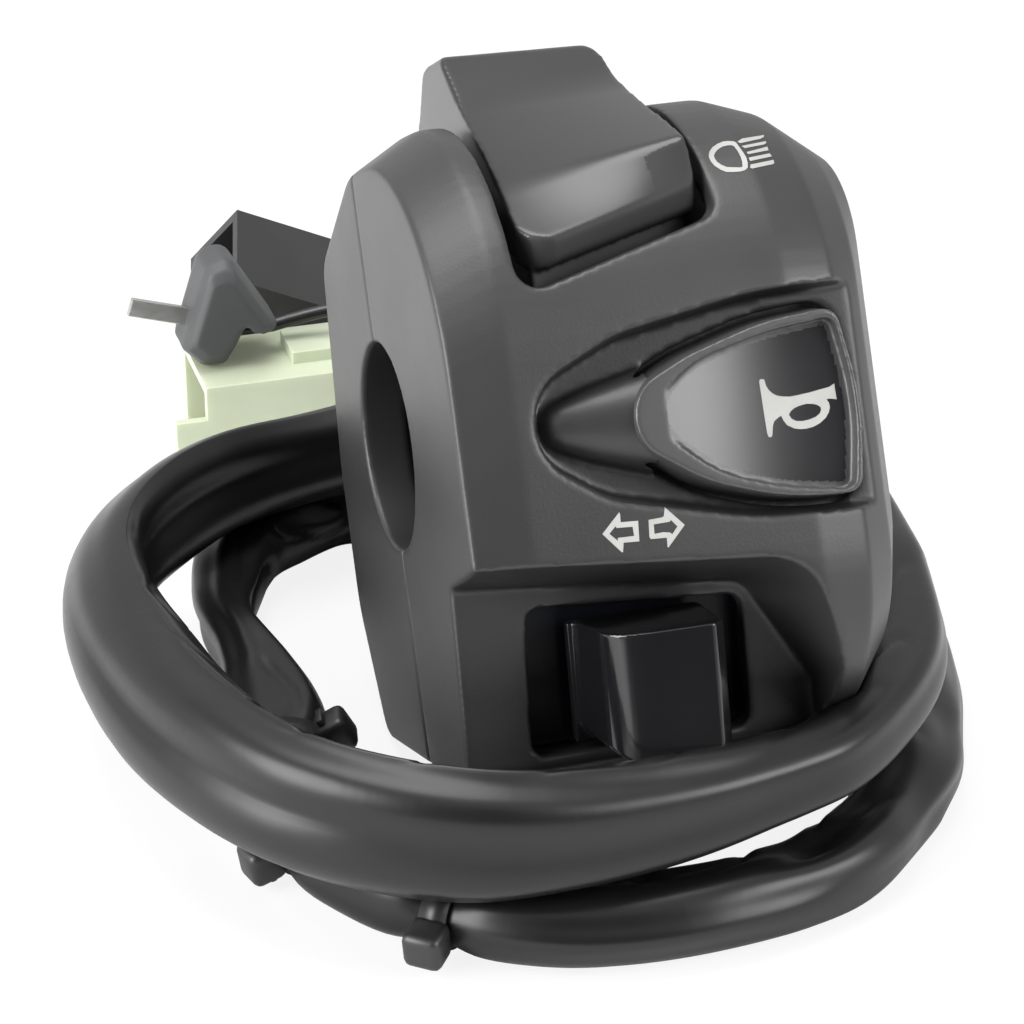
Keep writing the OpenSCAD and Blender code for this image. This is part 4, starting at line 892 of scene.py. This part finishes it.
boot_at = Vector((-25, 78.5, table_z + 12.3))
hood_path = [(-5.7, 2.6, 0.6), (-2.2, 13.6, 1.6), (0.9, 14.6, 1.8), (7.0, 4.3, 0.6), (4.9, 3.5, 0.5),
             (3.0, 5.9, 1.0), (1.3, 2.7, 1.0), (-0.4, 0.0, 0.6), (-3.2, 0.0, 0.6)]
hood_middle = Vector((-0.6, 6.5))


def hood_ring(y, share):
    """The hood's outline at a depth, shrunk towards its middle."""
    return [boot_at + Vector((q.x, y, q.y)) for q in (
        hood_middle + (Vector((p.x, p.y)) - hood_middle) * share for p in outline(hood_path))]


hood_rings = ((-4.6, 0.70), (-3.9, 0.90), (-2.4, 1.0), (2.4, 1.0), (3.9, 0.90), (4.6, 0.70))
hood = carve(
    loft([hood_ring(y, share) for y, share in hood_rings]),
    ("-", rod(boot_at + Vector((-5.6, 0, -1.4)), boot_at + Vector((-1.6, 0, 4.2)), 2.1)),
    ("-", rod(boot_at + Vector((7, 0, 3.2)), boot_at + Vector((0, 0, 3.6)), 1.7)))
boot = moulded("earth_hood", hood, 0.22, 6)
fit(boot, "housing", "earth_boot", "black_rubber",
    plastic("boot_rubber", ("#3a3b3c", "#464748"), (0.50, 0.64), 0.6, 0.03, 6.0))
blade_tilt = radians(17)
blade_bm = brick((-12.2, -0.4, -1.2), (0.6, 0.4, 1.2), 0.18, 2)
bmesh.ops.transform(blade_bm, verts=blade_bm.verts, matrix=Matrix.Translation(
    boot_at + Vector((0, 0, 4.6))) @ Matrix.Rotation(blade_tilt, 4, "Y"))
blade = finished("earth_blade", blade_bm)
fit(blade, "housing", "earth_terminal", "plated_steel",
    metal("tinned_brass", ("#9a9a98", "#bcbcb9"), (0.30, 0.48), 0.6))


# Leads: stranded copper in thin PVC, side by side out of the sleeve. Six go to the natural connector,
# three to the black one, and the tenth is the earth lead, which ends in a blade under a soft boot.

lead_d = 0.0017
lead_pvc = plastic("lead_pvc", ("#18181a", "#212123"), (0.28, 0.40), 0.5, 0.02, 6.0)


def lead(name, points, node):
    """One lead as a round curve through the points."""
    curve = bpy.data.curves.new(name, "CURVE")
    curve.dimensions, curve.bevel_depth, curve.bevel_resolution = "3D", lead_d / 2, 3
    curve.use_fill_caps = True
    spline = curve.splines.new("POLY")
    spline.points.add(len(points) - 1)
    for knot, p in zip(spline.points, points):
        knot.co = (*(p * 0.001), 1)
    spline.use_smooth = True
    made = bpy.data.objects.new(name, curve)
    scene.collection.objects.link(made)
    fit(made, "housing", node, "lead_pvc", lead_pvc)
    long = sum((b - a).length for a, b in zip(points, points[1:])) * 0.001


end_ahead, end_across, end_up = axes(sleeve_knots, len(sleeve_knots) - 1)
bend_steps = 20


def route(k, leave, arrive, end, crimp):
    """A lead's line: from inside the sleeve, out at its own place, to its plug's end and on to the crimp."""
    a = sleeve_knots[-1] + end_ahead * 0.7 + 2.4 * (end_across * (k % 3 - 1) + end_up * (k // 3 - 1.5))
    b, c = a + leave, end + arrive
    return [a - end_ahead * 4, *(
        a * (1 - t) ** 3 + b * 3 * t * (1 - t) ** 2 + c * 3 * t * t * (1 - t) + end * t ** 3
        for t in (i / bend_steps for i in range(bend_steps + 1))), crimp]


# The middle of a plug's holes, how far apart they are, and how far along its rear and the crimps lie
natural_at, natural_pitch = Vector((-29, 77.25, table_z + 6)), (3.9, 5)
natural_rear, natural_crimp = 27.5, 19.7
for k in range(6):
    hole = natural_at + Vector((0, (k % 3 - 1) * natural_pitch[0], (k // 3 - 0.5) * natural_pitch[1]))
    line = route(k, end_ahead * 9, Vector((7 + 1.5 * (k % 3), 0, 0)), hole + Vector((natural_rear, 0, 0)),
                 hole + Vector((natural_crimp, 0, 0)))
    lead(f"natural_lead_{k + 1}", line, "natural_connector_leads")

black_at = Vector((-19, 95, table_z + 24.6))
black_x = Vector((0.9, 0.05, -0.43)).normalized()
black_y = Vector((-0.38, 0.56, -0.73))
black_y = (black_y - black_x * black_y.dot(black_x)).normalized()
black_z = black_x.cross(black_y)
black_frame = Matrix.Translation(black_at) @ Matrix((black_x, black_y, black_z)).transposed().to_4x4()
black_pitch, black_rear, black_crimp = 3.4, 24, 16.2
for k in range(3):
    rear_end, crimp_end = (black_frame @ Vector((x, 6.5 + (k - 1) * black_pitch, -5.5))
                           for x in (black_rear, black_crimp))
    line = route(6 + k, Vector((0, 12, -4)), Vector((7 + 4 * k, 0, -2)), rear_end, crimp_end)
    lead(f"black_lead_{k + 1}", line, "black_connector_leads")

boot_out = boot_at + Vector((6.5, 0, 3.2))
line = route(9, end_ahead * 10 + Vector((0, 4, 5)), Vector((14, 0, 3)), boot_out,
             boot_out - Vector((7, 0, 0)))
lead("earth_wire", line, "earth_lead")


# Marks: white ink printed on the moulded faces: main beam by the rocker, a double arrow over the turn
# signal, and a horn in the button's dish. Each outline is x and z in mm as seen from the front.

ink_t, ink_edge = 0.04, 0.4


def printed(name, loops, under, body):
    """A mark laid on a face, a hair proud of it; an outline inside another one is a hole."""
    bm = bmesh.new()
    for loop in loops:
        verts = [bm.verts.new((x, 0, z)) for x, z in loop]
        for pair in zip(verts, verts[1:] + verts[:1]):
            bm.edges.new(pair)
    bmesh.ops.triangle_fill(bm, edges=bm.edges[:], use_beauty=True)
    for _ in range(4):
        long = [e for e in bm.edges if e.calc_length() > ink_edge]
        bmesh.ops.subdivide_edges(bm, edges=long, cuts=1)
        bmesh.ops.triangulate(bm, faces=bm.faces)
    under_tree = BVHTree.FromObject(under, bpy.context.evaluated_depsgraph_get())
    inwards = leaning.to_3x3() @ Vector((0, 1, 0))
    for v in bm.verts:
        hit, normal, _, _ = under_tree.ray_cast((leaning @ Vector((v.co.x, -far, v.co.z))) * 0.001, inwards)
        v.co = hit * 1000 + normal * ink_t
    bmesh.ops.recalc_face_normals(bm, faces=bm.faces)
    if sum((f.normal.dot(inwards) for f in bm.faces), 0.0) > 0:
        bmesh.ops.reverse_faces(bm, faces=bm.faces)
    made = finished(name, bm)
    made.data.materials.append(ink)
    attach(made, body)


ink = plastic("white_ink", ("#a0a09d", "#b2b2af"), (0.40, 0.55), 0.25, 0.01, 2.0)
beam_loops = [
    [(8.56, 25.19), (8.82, 25.55), (9.33, 25.97), (10.03, 26.29), (10.73, 26.47), (11.31, 26.47),
     (11.83, 26.37), (12.02, 26.2), (12.1, 25.7), (12.21, 25.05), (12.28, 24.49), (12.18, 23.88),
     (11.97, 23.36), (11.66, 23.13), (11.18, 23.01), (10.39, 23.02), (9.56, 23.12), (9.06, 23.45),
     (8.64, 23.93), (8.46, 24.42), (8.45, 24.89)],
    [(9.07, 25.05), (9.32, 25.33), (9.84, 25.7), (10.48, 25.94), (11.02, 25.99), (11.43, 25.94),
     (11.62, 25.76), (11.71, 25.23), (11.73, 24.64), (11.66, 24.09), (11.47, 23.49), (11.15, 23.44),
     (10.34, 23.56), (9.81, 23.66), (9.38, 23.95), (9.07, 24.34), (8.99, 24.74)],
    [(12.18, 26.26), (12.92, 26.58), (15.86, 26.79), (15.67, 26.57), (15.16, 26.39), (12.44, 26.07)],
    [(12.39, 25.75), (15.55, 26.06), (15.55, 25.86), (15.08, 25.69), (12.63, 25.47)],
    [(12.57, 25.02), (15.38, 25.43), (15.28, 25.01), (12.66, 24.76)],
    [(12.52, 24.39), (15.22, 24.65), (15.28, 24.29), (12.52, 24)],
    [(12.38, 23.62), (15.27, 23.9), (15.2, 23.55), (14.97, 23.43), (12.38, 23.17), (12.21, 23.27)]]
arrow_loops = [
    [(-10.16, -11.39), (-8.15, -9.47), (-8.07, -9.63), (-8.12, -10.47), (-6.32, -10.57), (-6.47, -12.61),
     (-8.1, -12.53), (-8.29, -13.46), (-8.44, -13.42)],
    [(-9.44, -11.46), (-8.68, -10.79), (-8.64, -10.99), (-6.97, -11.08), (-6.94, -12), (-8.63, -11.98),
     (-8.67, -12.26)],
    [(-1.58, -11.62), (-3.38, -9.63), (-3.63, -10.47), (-3.85, -10.57), (-5.24, -10.63), (-5.38, -12.27),
     (-5.29, -12.55), (-3.61, -12.64), (-3.65, -13.59), (-3.55, -13.62)],
    [(-2.37, -11.67), (-2.94, -10.94), (-3.09, -11.1), (-4.77, -11.15), (-4.81, -12.09), (-3.92, -12.04),
     (-3.2, -12.17), (-2.99, -12.37)]]
horn_loops = [
    [(8.35, 1.59), (8.51, 1.78), (8.9, 1.73), (8.97, 1.48), (9.01, 1.1), (9.23, 0.63), (9.6, 0.21),
     (10.11, -0.1), (10.72, -0.25), (11.42, -0.34), (12.36, -0.29), (13.55, -0.18), (14.73, -0.01),
     (15.59, 0.1), (16.2, 0.39), (16.19, -0.22), (16.23, -1.23), (15.54, -1.07), (15.18, -1.09),
     (15.38, -1.46), (15.43, -1.91), (15.26, -2.41), (14.87, -2.92), (14.19, -3.39), (13.46, -3.67),
     (12.66, -3.77), (12.05, -3.73), (11.48, -3.6), (10.71, -3.15), (10.39, -2.64), (10.22, -2.15),
     (9.93, -2.25), (9.41, -2.59), (9.19, -3.04), (9.01, -3.99), (8.83, -4.15), (8.6, -4.08),
     (8.49, -3.77), (8.44, -2.43), (8.4, -0.72), (8.37, 0.77)],
    [(11.05, -2.13), (11.29, -1.82), (11.72, -1.54), (12.37, -1.37), (13.01, -1.28), (13.69, -1.37),
     (14.13, -1.53), (14.45, -1.78), (14.48, -2.09), (14.28, -2.43), (13.82, -2.71), (13.1, -2.89),
     (12.39, -2.95), (11.74, -2.86), (11.27, -2.57)]]
printed("main_beam_mark", beam_loops, front_shell, "housing")
printed("turn_signal_mark", arrow_loops, front_shell, "housing")
printed("horn_mark", horn_loops, horn, "horn")
